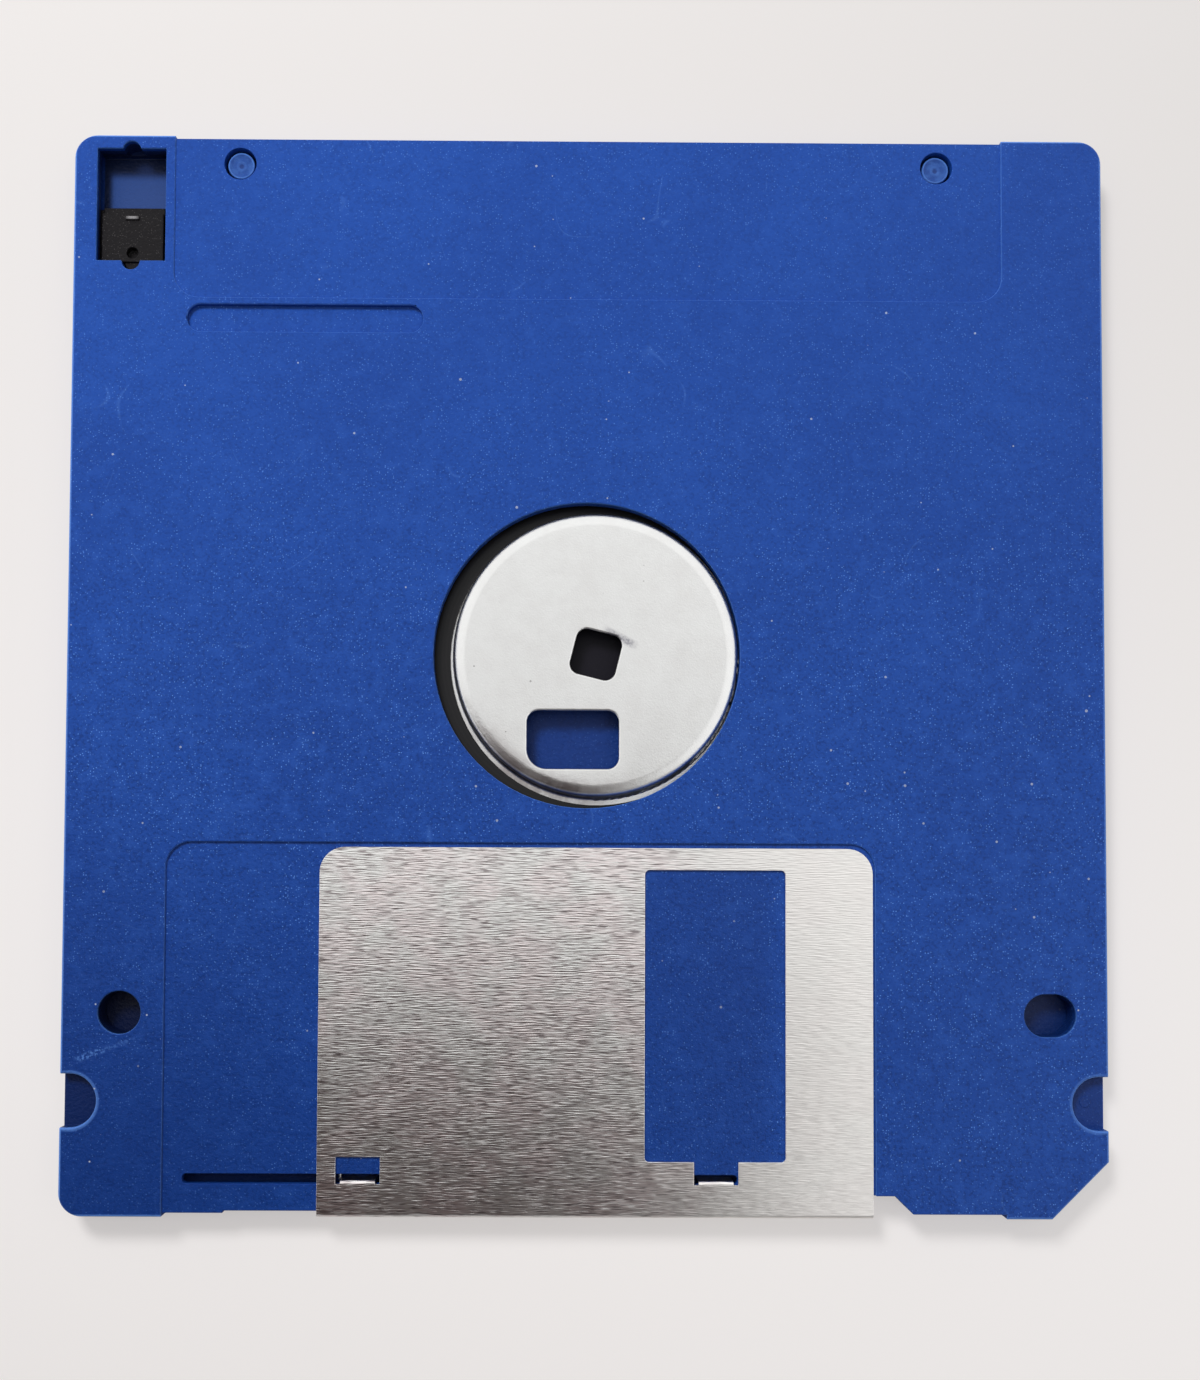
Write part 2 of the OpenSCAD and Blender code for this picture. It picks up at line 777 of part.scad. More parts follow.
// Wear pad on the lower shell, under the spindle hole
module hub_wear_pad() {
    color(slider_black)
        translate([0, spindle_y, floor_z]) cylinder(pad_t, r = pad_r);
}

back_shell();
front_shell();
shutter();
shutter_spring();
write_protect_slider();
magnetic_disk();
hub();
hub_glue_ring();
back_liner();
front_liner();
liner_lifter();
hub_wear_pad();
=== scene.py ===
# %% [markdown]
# # A 3.5 inch disk cartridge, lying on its label side
#
# The CAD model of the cartridge is loaded as a fixed frame: twelve pieces, on four bodies that can move.
# This lesson dresses them. It rounds the edges that a mould or a press leaves round, adds the small forms
# that were left out of the CAD, gives each piece its finish, and sets up the light and the camera.
# All lengths are in metres, as in the frame, so the value mm keeps the numbers readable.

# %% Tools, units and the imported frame
import json
import math

import bmesh
import bpy
import numpy as np
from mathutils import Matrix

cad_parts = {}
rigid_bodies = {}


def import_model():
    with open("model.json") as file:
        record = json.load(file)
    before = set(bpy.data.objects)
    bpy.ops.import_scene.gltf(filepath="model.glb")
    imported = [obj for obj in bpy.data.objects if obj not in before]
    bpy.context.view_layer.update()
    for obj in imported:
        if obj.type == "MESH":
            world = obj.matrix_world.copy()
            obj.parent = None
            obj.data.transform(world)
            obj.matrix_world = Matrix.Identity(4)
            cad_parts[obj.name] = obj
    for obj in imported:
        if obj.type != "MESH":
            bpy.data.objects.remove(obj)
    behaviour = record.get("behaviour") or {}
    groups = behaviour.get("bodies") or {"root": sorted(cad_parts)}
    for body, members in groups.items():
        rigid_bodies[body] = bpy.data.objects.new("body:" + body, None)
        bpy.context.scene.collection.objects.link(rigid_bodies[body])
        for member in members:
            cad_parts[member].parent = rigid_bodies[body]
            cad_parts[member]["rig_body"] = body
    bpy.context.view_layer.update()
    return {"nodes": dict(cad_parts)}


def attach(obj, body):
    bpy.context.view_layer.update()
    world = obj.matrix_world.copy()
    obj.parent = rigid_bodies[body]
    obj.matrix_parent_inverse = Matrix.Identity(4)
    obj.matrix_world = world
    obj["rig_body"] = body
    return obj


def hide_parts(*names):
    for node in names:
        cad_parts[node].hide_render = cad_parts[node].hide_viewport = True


mm = 0.001
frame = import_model()
scene = bpy.context.scene

# %% [markdown]
# ## The camera
#
# The photograph looks almost straight down from 11 cm, and it is an off-centre crop. Its four case edges fix
# the view: the camera stands 18 mm nearer to the shutter edge than the middle of the case and leans by less
# than two degrees, and a lens shift stands for the crop. A camera could be placed by eye, but a short lens
# this close shows the walls of every hole, so the distance has to be right.

# %% Camera at the photograph's viewing angle
PHOTO_LONG_SIDE = 1380
FOCAL_PIXELS = 1250
SHIFT_PIXELS = (28.95, 152.96)
SENSOR = 36.0
CAMERA_PLACE = (-1.807 * mm, -18.168 * mm, 111.003 * mm)
CAMERA_TURN = (1.7412, -0.2761, 0.2475)

lens = bpy.data.cameras.new("photo_camera")
lens.sensor_width = SENSOR
lens.lens = FOCAL_PIXELS / PHOTO_LONG_SIDE * SENSOR
lens.clip_start = 1 * mm
lens.clip_end = 10.0
lens.shift_x = SHIFT_PIXELS[0] / PHOTO_LONG_SIDE
lens.shift_y = SHIFT_PIXELS[1] / PHOTO_LONG_SIDE
camera = bpy.data.objects.new("photo_camera", lens)
camera.location = CAMERA_PLACE
camera.rotation_euler = [math.radians(angle) for angle in CAMERA_TURN]
scene.collection.objects.link(camera)
scene.camera = camera
print("focal length:", round(lens.lens, 2), "mm")

# %% [markdown]
# ## Nodes in few words
#
# A material is a small graph. One helper adds a node, writes its plain values and links its sockets, so each
# finish below reads as a list of what feeds what. The others name the few sums that a finish is made of.

# %% Helpers that add one shader node
def add(tree, kind, inputs=None, **settings):
    """Adds a node. A socket given as an input is linked, and any other value is written into the input."""
    made = tree.nodes.new(kind)
    for name, value in settings.items():
        setattr(made, name, value)
    for name, value in (inputs or {}).items():
        if isinstance(value, bpy.types.NodeSocket):
            tree.links.new(value, made.inputs[name])
        else:
            made.inputs[name].default_value = value
    return made


def maths(tree, operation, *values):
    """Output of a Math node with the given inputs."""
    return add(tree, "ShaderNodeMath", dict(enumerate(values)), operation=operation).outputs[0]


def vector_maths(tree, operation, first, second):
    """Outputs of a Vector Math node: a Vector, or a Value for a distance or a dot product."""
    return add(tree, "ShaderNodeVectorMath", {0: first, 1: second}, operation=operation).outputs


def parts(tree, vector):
    """The X, Y and Z of a vector."""
    return add(tree, "ShaderNodeSeparateXYZ", {0: vector}).outputs


def noise(tree, place, scale, detail=2.0, roughness=0.5, distortion=0.0):
    """Smooth noise with scale cells to the metre, and detail finer layers over them."""
    values = {"Vector": place, "Scale": scale, "Detail": detail, "Roughness": roughness,
              "Distortion": distortion}
    return add(tree, "ShaderNodeTexNoise", values).outputs[0]


print("node helpers: add, maths, vector_maths, parts, noise")

# %% Helpers that mix numbers, masks and colours
def remap(tree, value, low, high, to_low=0.0, to_high=1.0):
    """Value moved smoothly from the range low to high into the range to_low to to_high."""
    ends = {"Value": value, "From Min": low, "From Max": high, "To Min": to_low, "To Max": to_high}
    return add(tree, "ShaderNodeMapRange", ends, interpolation_type="SMOOTHSTEP").outputs["Result"]


def between(tree, share, first, second):
    """Number that goes from first to second as share goes from 0 to 1."""
    return add(tree, "ShaderNodeMix", {0: share, 2: first, 3: second}).outputs[0]


def blend(tree, share, first, second):
    """Colour that goes from first to second as share goes from 0 to 1."""
    mixed = add(tree, "ShaderNodeMix", {0: share, 6: first, 7: second}, data_type="RGBA")
    return mixed.outputs[2]


def both(tree, first, second):
    """Mask that is 1 where both masks are: their product."""
    return maths(tree, "MULTIPLY", first, second)


def either(tree, first, second):
    """Mask that is 1 where one of two masks is: the larger of them."""
    return maths(tree, "MAXIMUM", first, second)


def invert(tree, mask):
    """Mask that is 1 where the given one is 0."""
    return maths(tree, "SUBTRACT", 1.0, mask)


def over(tree, base, mask, share, colour):
    """Base with a colour laid over it where mask is 1, as strongly as share says."""
    return blend(tree, both(tree, mask, share), base, colour)


print("mixing helpers: remap, between, blend, both, either, invert, over")

# %% [markdown]
# ## Light
#
# The cartridge was photographed on a pale table under soft light from above and from the label edge, and
# the photographer leant over the lower left. A picture of a room could light it, but a sky of a few smooth
# ranges needs no file and can be tuned. It is brightest overhead. One soft lamp beyond the label edge adds
# the gentle shadows in the well, and a dark card stands where the photographer was.
#
# Steel shows its surroundings far more than plastic does, so mirrored rays see levels of their own. Straight
# up they go from MIRRORED_NEAR to MIRRORED_FAR. Lower down they are MIRRORED_LOW, and they sink to
# MIRRORED_FLOOR of that behind the photographer. The card gives brushed steel its dark lower left corner.

# %% Sky: brightest overhead, softer towards the horizon
OVERHEAD = 0.80
HORIZON = 0.22
MIRRORED_NEAR = 0.50
MIRRORED_FAR = 0.95
MIRRORED_LOW = 1.2
MIRRORED_FLOOR = 0.3
SKY_COLOUR = (0.97, 0.985, 1.0, 1.0)
BACKDROP_COLOUR = (0.83, 0.81, 0.80, 1.0)

sky = bpy.data.worlds.new("studio_sky")
sky.use_nodes = True
scene.world = sky
tree = sky.node_tree
tree.nodes.clear()
way = parts(tree, add(tree, "ShaderNodeTexCoord").outputs["Generated"])
level = remap(tree, way["Z"], 0.45, 0.92, HORIZON, OVERHEAD)
high_sky = remap(tree, way["Y"], -0.28, -0.04, MIRRORED_NEAR, MIRRORED_FAR)
behind = remap(tree, way["Y"], -0.75, -0.45, MIRRORED_FLOOR, 1.0)
low_sky = maths(tree, "MULTIPLY", MIRRORED_LOW, behind)
mirrored = between(tree, remap(tree, way["Z"], 0.84, 0.95), low_sky, high_sky)
ray = add(tree, "ShaderNodeLightPath").outputs
level = between(tree, ray["Is Glossy Ray"], level, mirrored)
colour = blend(tree, ray["Is Camera Ray"], SKY_COLOUR, BACKDROP_COLOUR)
strength = between(tree, ray["Is Camera Ray"], level, 1.0)
shown = add(tree, "ShaderNodeBackground", {"Color": colour, "Strength": strength})
add(tree, "ShaderNodeOutputWorld", {"Surface": shown.outputs[0]})
print("sky nodes:", len(tree.nodes))

# %% Soft lamp beyond the label edge
def soft_lamp(name, place, size, power):
    """Square lamp that faces the middle of the cartridge. Power is in watts and size in metres."""
    data = bpy.data.lights.new(name, "AREA")
    data.shape = "RECTANGLE"
    data.size = size
    data.size_y = size
    data.energy = power
    lamp = bpy.data.objects.new(name, data)
    lamp.location = place
    toward = -lamp.location.normalized()
    lamp.rotation_euler = toward.to_track_quat("-Z", "Y").to_euler()
    lamp.visible_camera = False
    scene.collection.objects.link(lamp)
    return lamp


key = soft_lamp("key_lamp", place=(-0.105, 0.175, 0.25), size=0.08, power=0.74)
key.visible_glossy = False
print("lamp:", key.name, round(key.data.energy, 2), "W")

# %% Card in the photographer's place
CARD_HEIGHT = 0.109
CARD_BROWN = (0.115, 0.083, 0.08, 1.0)


def flat_sheet(name, centre, along, across, z, material):
    """Flat sheet at height z: centre plus and minus the half sides along and across, all in metres."""
    centre, along, across = np.array([centre, along, across])
    corners = centre + np.array([-along - across, along - across, along + across, across - along])
    mesh = bpy.data.meshes.new(name)
    mesh.from_pydata(np.c_[corners, np.full(4, z)], [], [(0, 1, 2, 3)])
    mesh.materials.append(material)
    sheet = bpy.data.objects.new(name, mesh)
    scene.collection.objects.link(sheet)
    return sheet


card_paint = bpy.data.materials.new("card_paint")
card_paint.use_nodes = True
card_shader = card_paint.node_tree.nodes["Principled BSDF"]
card_shader.inputs["Base Color"].default_value = CARD_BROWN
card_shader.inputs["Roughness"].default_value = 0.9
card = flat_sheet("dark_card", (-0.085, -0.126), (0.115, 0.0), (0.0, 0.094), CARD_HEIGHT, card_paint)
card.visible_camera = False
print("card:", card.name)

# %% [markdown]
# ## The table
#
# The table is a plain pale sheet. Its near side stands under the card and would look grey, so the camera
# sees it painted a little lighter there, with half of it glowing, and it keeps the cartridge's shadow.

# %% Table top
TABLE_HALF_SIDE = 1.5
TABLE_PALE = (0.765, 0.735, 0.72, 1.0)
TABLE_NEAR = (0.95, 0.915, 0.90, 1.0)
TABLE_GLOW = 0.5

table_paint = bpy.data.materials.new("table_paint")
table_paint.use_nodes = True
tree = table_paint.node_tree
tree.nodes.clear()
table_y = parts(tree, add(tree, "ShaderNodeTexCoord").outputs["Object"])["Y"]
seen = add(tree, "ShaderNodeLightPath").outputs["Is Camera Ray"]
near_side = both(tree, seen, remap(tree, table_y, 0.06, -0.06))
top_colour = blend(tree, near_side, TABLE_PALE, TABLE_NEAR)
matte = add(tree, "ShaderNodeBsdfDiffuse", {"Color": top_colour})
glow = add(tree, "ShaderNodeEmission", {"Color": top_colour, "Strength": 1.0})
glow_share = both(tree, seen, TABLE_GLOW)
lit_paint = add(tree, "ShaderNodeMixShader", {0: glow_share, 1: matte.outputs[0], 2: glow.outputs[0]})
add(tree, "ShaderNodeOutputMaterial", {"Surface": lit_paint.outputs[0]})

table = flat_sheet("table_top", (0, 0), (TABLE_HALF_SIDE, 0), (0, TABLE_HALF_SIDE), -0.01 * mm, table_paint)
print("table top:", table.name)

# %% [markdown]
# ## Effects that several finishes share
#
# Moulded plastic, brushed steel and dust each appear in more than one finish, so each is a node group with
# named inputs. Sizes go in as millimetres. A group gives only heights and masks, and every finish decides
# what to do with them.

# %% Helpers for node groups
def effect(name, inputs, outputs):
    """New shader node group with float inputs and their usual values, a Place vector, and float outputs."""
    group = bpy.data.node_groups.new(name, "ShaderNodeTree")
    group.interface.new_socket("Place", in_out="INPUT", socket_type="NodeSocketVector")
    for title, usual in inputs.items():
        socket = group.interface.new_socket(title, in_out="INPUT", socket_type="NodeSocketFloat")
        socket.default_value = usual
    for title in outputs:
        group.interface.new_socket(title, in_out="OUTPUT", socket_type="NodeSocketFloat")
    start = group.nodes.new("NodeGroupInput")
    return group, start.outputs


def finish_effect(group, **results):
    """Links each named result to the group's output."""
    end = group.nodes.new("NodeGroupOutput")
    for title, socket in results.items():
        group.links.new(socket, end.inputs[title])
    print("effect:", group.name, "with", len(group.nodes), "nodes")


def per_mm(tree, size):
    """Texture scale at which one cell is size millimetres wide."""
    return maths(tree, "DIVIDE", 1000.0, size)


print("group helpers: effect, finish_effect, per_mm")

# %% [markdown]
# ** Moulded grain.** The mould's wall is spark-eroded, so the plastic carries a fine pebbled skin with a
# slower swell under it. Two noises of different size make the height. The tips of a few pebbles catch more
# light, and the Tips mask picks them out for a painted highlight: the middles of those Voronoi cells whose
# own colour says so.

# %% Moulded grain
grain, g = effect("moulded_grain", {"Pebble mm": 0.30, "Swell mm": 1.4, "Swell share": 0.2},
                  ["Height", "Tips"])
pebbles = noise(grain, g["Place"], per_mm(grain, g["Pebble mm"]), 2.5, 0.65)
swell = noise(grain, g["Place"], per_mm(grain, g["Swell mm"]), 1.0)
skin_height = between(grain, g["Swell share"], pebbles, swell)
tip_scale = maths(grain, "MULTIPLY", per_mm(grain, g["Pebble mm"]), 1.3)
tips = add(grain, "ShaderNodeTexVoronoi", {"Vector": g["Place"], "Scale": tip_scale})
by_tip = remap(grain, tips.outputs["Distance"], 0.30, 0.10)
lucky = add(grain, "ShaderNodeSeparateColor", {0: tips.outputs["Color"]})
few = remap(grain, lucky.outputs[0], 0.15, 0.8)
finish_effect(grain, Height=skin_height, Tips=both(grain, by_tip, few))

# %% [markdown]
# **Brushed strokes.** A belt leaves thousands of shallow scratches that run one way. Noise that is stretched
# along X gives strokes of the right length and width, and a second, coarser layer gathers them into bands.
# Voronoi cells would give harder strokes, but they line up in columns. Two more layers, a little thinner,
# pick out the deepest, dark scratches as Streak and the bright ones as Glint.

# %% Brushed strokes along X
brushed, g = effect("brushed_strokes", {"Length mm": 1.15, "Width mm": 0.105}, ["Height", "Streak", "Glint"])


def strokes(tree, length, width, shift):
    """Noise with cells of the given length along X and width along Y, shifted so that layers differ."""
    per_side = {0: per_mm(tree, length), 1: per_mm(tree, width), 2: per_mm(tree, width)}
    across = add(tree, "ShaderNodeCombineXYZ", per_side)
    scaled = vector_maths(tree, "MULTIPLY", g["Place"], across.outputs[0])["Vector"]
    moved = vector_maths(tree, "ADD", scaled, (shift, shift, shift))["Vector"]
    return noise(tree, moved, 1.0, 0.5)


fine = strokes(brushed, g["Length mm"], g["Width mm"], 0.0)
longer = maths(brushed, "MULTIPLY", g["Length mm"], 1.7)
wider = maths(brushed, "MULTIPLY", g["Width mm"], 2.5)
thinner = maths(brushed, "MULTIPLY", g["Width mm"], 0.8)
stroke_height = between(brushed, 0.12, fine, strokes(brushed, longer, wider, 31.0))
streak = remap(brushed, strokes(brushed, g["Length mm"], thinner, 57.0), 0.55, 0.69)
glint = remap(brushed, strokes(brushed, g["Length mm"], thinner, 83.0), 0.55, 0.69)
finish_effect(brushed, Height=stroke_height, Streak=streak, Glint=glint)

# %% [markdown]
# **Dust and hairlines.** A used cartridge carries a few pale specks and some hair-thin scratches. Specks are
# the middles of sparse Voronoi cells. A hairline is the narrow band where a warped noise crosses one level,
# kept only in patches.

# %% Dust specks
dust, g = effect("dust_specks", {"Spacing mm": 1.6, "Size": 0.06, "Share": 0.3}, ["Mask"])
cells = add(dust, "ShaderNodeTexVoronoi", {"Vector": g["Place"], "Scale": per_mm(dust, g["Spacing mm"])})
chance = add(dust, "ShaderNodeSeparateColor", {0: cells.outputs["Color"]})
kept = maths(dust, "LESS_THAN", chance.outputs[0], g["Share"])
reach = maths(dust, "MULTIPLY", g["Size"], maths(dust, "ADD", chance.outputs[1], 0.35))
speck = maths(dust, "LESS_THAN", cells.outputs["Distance"], reach)
finish_effect(dust, Mask=both(dust, kept, speck))

# %% Hairline scratches
hairline, g = effect("hairline_scratches", {"Spread mm": 9.0, "Width": 0.006}, ["Mask"])
field = noise(hairline, g["Place"], per_mm(hairline, g["Spread mm"]), 0.0, distortion=0.4)
off_line = maths(hairline, "ABSOLUTE", maths(hairline, "SUBTRACT", field, 0.5))
thin = remap(hairline, off_line, g["Width"], 0.0)
patch_scale = maths(hairline, "MULTIPLY", per_mm(hairline, g["Spread mm"]), 2.3)
patch = remap(hairline, noise(hairline, g["Place"], patch_scale), 0.56, 0.66)
finish_effect(hairline, Mask=both(hairline, thin, patch))

# %% [markdown]
# ## Finishes
#
# Each finish has one Principled shader. A short helper starts it, reads Object coordinates once, and gives
# back what the rest of the finish needs. Values that don't change over the surface stay on the shader.
# Wear that sits at one place, such as a scuff, is a mask worked out from the coordinates in millimetres.

# %% Helpers for finishes
def new_finish(name, roughness, metallic=0.0, **plain):
    """Material with one Principled shader. Gives both, the tree and Object coordinates."""
    material = bpy.data.materials.new(name)
    material.use_nodes = True
    tree = material.node_tree
    tree.nodes.clear()
    values = {"Roughness": roughness, "Metallic": metallic}
    values.update({title.replace("_", " "): value for title, value in plain.items()})
    shader = add(tree, "ShaderNodeBsdfPrincipled", values)
    add(tree, "ShaderNodeOutputMaterial", {"Surface": shader.outputs[0]})
    place = add(tree, "ShaderNodeTexCoord").outputs["Object"]
    return material, tree, shader, place


def use(tree, group, place, **values):
    """Outputs of an effect placed in a finish, with its values set by name."""
    node = add(tree, "ShaderNodeGroup", node_tree=group)
    tree.links.new(place, node.inputs["Place"])
    for title, value in values.items():
        node.inputs[title.replace("_", " ")].default_value = value
    return node.outputs


def emboss(tree, shader, height, depth):
    """Feeds a height into the shader's normal. Depth is in metres from the height 0 to 1."""
    bump = add(tree, "ShaderNodeBump", {"Height": height, "Distance": depth, "Strength": 1.0})
    tree.links.new(bump.outputs[0], shader.inputs["Normal"])


def paint(tree, shader, colour):
    """Feeds a colour into the shader."""
    tree.links.new(colour, shader.inputs["Base Color"])


print("finish helpers: new_finish, use, emboss, paint")

# %% Masks by place
def disc_mask(tree, place, x, y, radius, soft=0.2):
    """1 within radius of the vertical line through x and y, all in millimetres, with a soft border."""
    level_place = vector_maths(tree, "MULTIPLY", place, (1.0, 1.0, 0.0))["Vector"]
    away = vector_maths(tree, "DISTANCE", level_place, (x * mm, y * mm, 0.0))["Value"]
    return remap(tree, away, (radius + soft) * mm, (radius - soft) * mm)


def within(tree, value, middle, reach, soft=0.05):
    """1 where a coordinate lies within reach of middle, in millimetres, with a soft border."""
    off = maths(tree, "ABSOLUTE", maths(tree, "SUBTRACT", value, middle * mm))
    return remap(tree, off, (reach + soft) * mm, (reach - soft) * mm)


def patch_mask(tree, axes, x, y, half_x, half_y, soft=0.05):
    """1 inside the rectangle round x and y with the given half sides, in millimetres."""
    return both(tree, within(tree, axes["X"], x, half_x, soft), within(tree, axes["Y"], y, half_y, soft))


def folded(tree, axes):
    """Place with its left half folded onto its right, so that one disc marks a mirrored pair."""
    right = maths(tree, "ABSOLUTE", axes["X"])
    return add(tree, "ShaderNodeCombineXYZ", {0: right, 1: axes["Y"]}).outputs[0]


print("masks: disc_mask, within, patch_mask, folded")

# %% Broken smear
CRUMB_SCALE = 5000.0


def scuff(tree, place, x, y, turn, length, width, least=0.0):
    """Broken smear, length by width in millimetres, centred at x and y and turned by degrees from X."""
    angle = math.radians(turn)
    along = (math.cos(angle) / mm, math.sin(angle) / mm, 0.0)
    sideways = (-math.sin(angle) / mm, math.cos(angle) / mm, 0.0)
    out = vector_maths(tree, "SUBTRACT", place, (x * mm, y * mm, 0.0))["Vector"]
    u = vector_maths(tree, "DOT_PRODUCT", out, along)["Value"]
    v = vector_maths(tree, "DOT_PRODUCT", out, sideways)["Value"]
    ends = remap(tree, maths(tree, "ABSOLUTE", u), length / 2, length / 5)
    sides = remap(tree, maths(tree, "ABSOLUTE", v), width, width / 5)
    broken = remap(tree, noise(tree, place, CRUMB_SCALE, 3.0), 0.42, 0.6, least, 1.0)
    return both(tree, both(tree, ends, sides), broken)


print("mask: scuff")

# %% [markdown]
# ** Case plastic.** The case is moulded from blue plastic with a fine matte grain. One flat blue would look
# like paper, so the colour is built up in layers: pigment that drifts over the face, painted shade in the
# valleys of the grain, pale clouds, a painted highlight on the tips of a few pebbles, and then hairlines and
# dust. The painted shade, the clouds and the painted highlight grow stronger towards the shutter edge.

# %% Case: pigment, grain with painted shade and highlight, clouds and dust
BLUE_DARK = (0.0075, 0.053, 0.295, 1.0)
BLUE_LIGHT = (0.0095, 0.062, 0.33, 1.0)
BLUE_LOW = (0.0045, 0.038, 0.22, 1.0)
BLUE_CLOUD = (0.017, 0.082, 0.39, 1.0)
PALE_BLUE = (0.12, 0.29, 0.78, 1.0)
DUST = (0.55, 0.58, 0.66, 1.0)

case_blue, tree, shader, place = new_finish("blue_plastic", 0.46, Specular_IOR_Level=0.26)
axes = parts(tree, place)
case_skin = use(tree, grain, place)
# Share of the painted shade, the clouds and the painted highlight below: larger towards the shutter edge.
toward_shutter_edge = remap(tree, axes["Y"], 40 * mm, -15 * mm, 0.5, 1.0)
base = blend(tree, remap(tree, noise(tree, place, 60.0), 0.3, 0.7), BLUE_DARK, BLUE_LIGHT)
# Painted shade: the valleys of the grain are painted deeper.
base = over(tree, base, remap(tree, case_skin["Height"], 0.54, 0.36), toward_shutter_edge, BLUE_LOW)
clouds = remap(tree, noise(tree, place, 800.0, 4.0, 0.65), 0.46, 0.70, 0.0, 0.6)
base = over(tree, base, clouds, toward_shutter_edge, BLUE_CLOUD)
clusters = remap(tree, noise(tree, place, 450.0), 0.36, 0.58, 0.4, 1.0)
# Painted highlight: the tips of a few pebbles, gathered in clusters, are painted paler.
base = over(tree, base, both(tree, case_skin["Tips"], clusters), toward_shutter_edge, PALE_BLUE)
base = over(tree, base, use(tree, hairline, place)["Mask"], 0.12, PALE_BLUE)
base = over(tree, base, use(tree, dust, place)["Mask"], 0.5, DUST)
print("case: pigment, grain and dust in", len(tree.nodes), "nodes")

# %% [markdown]
# ** Pale rims and steps.** The rims are painted paler, partly as wear from whatever the cartridge slides on and
# partly as a painted highlight of the rounded edges. The low walls of the recess steps lie in shade and get
# painted light. Geometry's Pointiness could find those edges, but only on a very dense mesh, so they are
# marked by where they lie: outside the flat part of the face, beyond the cut-off corner, round the notches,
# and at the height of a step. The lower left corner, under the dark card, gets painted shade, and there the
# rims' painted highlight is stronger.

# %% Case: wear and painted highlight on the rims, painted light on the steps, painted shade in a corner
SHADED_BLUE = (0.0035, 0.024, 0.145, 1.0)
NOTCH_X, NOTCH_Y = 44.2, -37.15
CUT_FROM, CUT_TO = 86.95, 86.8

flat_part = patch_mask(tree, axes, 0, 0, 44.8, 46.8, 0.06)
to_cut = maths(tree, "SUBTRACT", axes["X"], axes["Y"])
flat_part = both(tree, flat_part, remap(tree, to_cut, CUT_FROM * mm, CUT_TO * mm))
near_face = within(tree, axes["Z"], 3.2, 0.2)
# Rims painted paler: partly wear, partly a painted highlight of the rounded edges.
rim = both(tree, invert(tree, flat_part), near_face)
notch_lip = both(tree, disc_mask(tree, folded(tree, axes), NOTCH_X, NOTCH_Y, 2.6, 0.1), near_face)
rim = either(tree, rim, both(tree, notch_lip, 0.5))
# Painted shade in the lower left corner, under the dark card. There the rims' painted highlight is stronger.
near_corner = disc_mask(tree, place, -45, -47, 22, 20)
base = over(tree, base, near_corner, 0.6, SHADED_BLUE)
base = over(tree, base, rim, remap(tree, near_corner, 0, 1, 0.6, 0.9), PALE_BLUE)
# Painted light on the low walls of the recess steps, which lie in shade.
step_wall = within(tree, axes["Z"], 3.2, 0.07, 0.02)
recess_wall = both(tree, within(tree, axes["Z"], 3.16, 0.11, 0.01), within(tree, axes["Y"], -30, 17.5))
base = over(tree, base, either(tree, step_wall, recess_wall), 0.45, PALE_BLUE)
print("case: rims and steps, now", len(tree.nodes), "nodes")

# %% [markdown]
# ** Painted shade and dust.** Light dies quickly in narrow places, and a soft sky alone leaves them too pale. So
# shade is painted into the plastic behind the shutter's two windows and inside the case. The floor of the
# slider's well is dusty, and painted shade and shadow sit along its walls, in its corners and down the
# holes.

# %% Case: painted shade in the windows and inside, dust in the well, painted shade in the well and the holes
DUSTY_BLUE = (0.019, 0.050, 0.185, 1.0)
HOLE_DARK = (0.0015, 0.004, 0.022, 1.0)
# Middle in x and y, radius, and how dark: left locating hole, right locating hole, left notch
DARK_HOLES = ((-40, -29.6, 2.1, 0.9), (40, -29.6, 2.6, 0.45), (-NOTCH_X, NOTCH_Y, 2.5, 0.5))

# Painted shade on the plastic seen through the shutter's two windows.
window = patch_mask(tree, axes, 10, -31, 6, 14, 1.5)
small_window = patch_mask(tree, axes, -19.4, -43, 2.4, 1.6, 0.5)
behind_shutter = both(tree, either(tree, window, small_window), within(tree, axes["Z"], 3.0, 0.1))
base = over(tree, base, behind_shutter, 0.3, SHADED_BLUE)
# Painted shade on everything inside the case.
inner = both(tree, within(tree, axes["X"], 0, 44.93, 0.03), within(tree, axes["Y"], 0, 46.2))
base = over(tree, base, both(tree, inner, within(tree, axes["Z"], 1.55, 0.9, 0.15)), 0.75, SHADED_BLUE)
well = patch_mask(tree, axes, -40, 41, 3.1, 6.0)
well_floor = both(tree, well, within(tree, axes["Z"], 1.2, 0.1))
base = blend(tree, well_floor, base, DUSTY_BLUE)
# Painted shade on the well's walls, and painted shadow on its floor near the top and left walls.
well_wall = both(tree, well, within(tree, axes["Z"], 2.1, 0.75))
lit_floor = both(tree, remap(tree, axes["Y"], 44.9 * mm, 43.9 * mm),
                   remap(tree, axes["X"], -42.8 * mm, -42.2 * mm))
shadowed_corners = both(tree, well_floor, invert(tree, lit_floor))
base = over(tree, base, either(tree, well_wall, shadowed_corners), 0.82, HOLE_DARK)
# Painted shade down the holes and in the left notch, as dark as each entry says.
below_face = within(tree, axes["Z"], 1.8, 1.2, 0.1)
for x, y, radius, darkness in DARK_HOLES:
    hole = both(tree, disc_mask(tree, place, x, y, radius), below_face)
    base = over(tree, base, hole, darkness, HOLE_DARK)
print("case: shade and grime, now", len(tree.nodes), "nodes")

# %% [markdown]
# ** Scuffs and crumbs.** A drive's pin left a scuff beside the left hole, and a few pale crumbs stick to the
# lower corners. Random dust would hardly ever fall there, so each is placed one by one.

# %% Case: scuffs and crumbs, and the end of the finish
CRUMBS = ((-42.0, -36.1), (-42.3, -42.3), (-37.6, -29.8), (-42.0, -28.9), (42.4, -29.1))

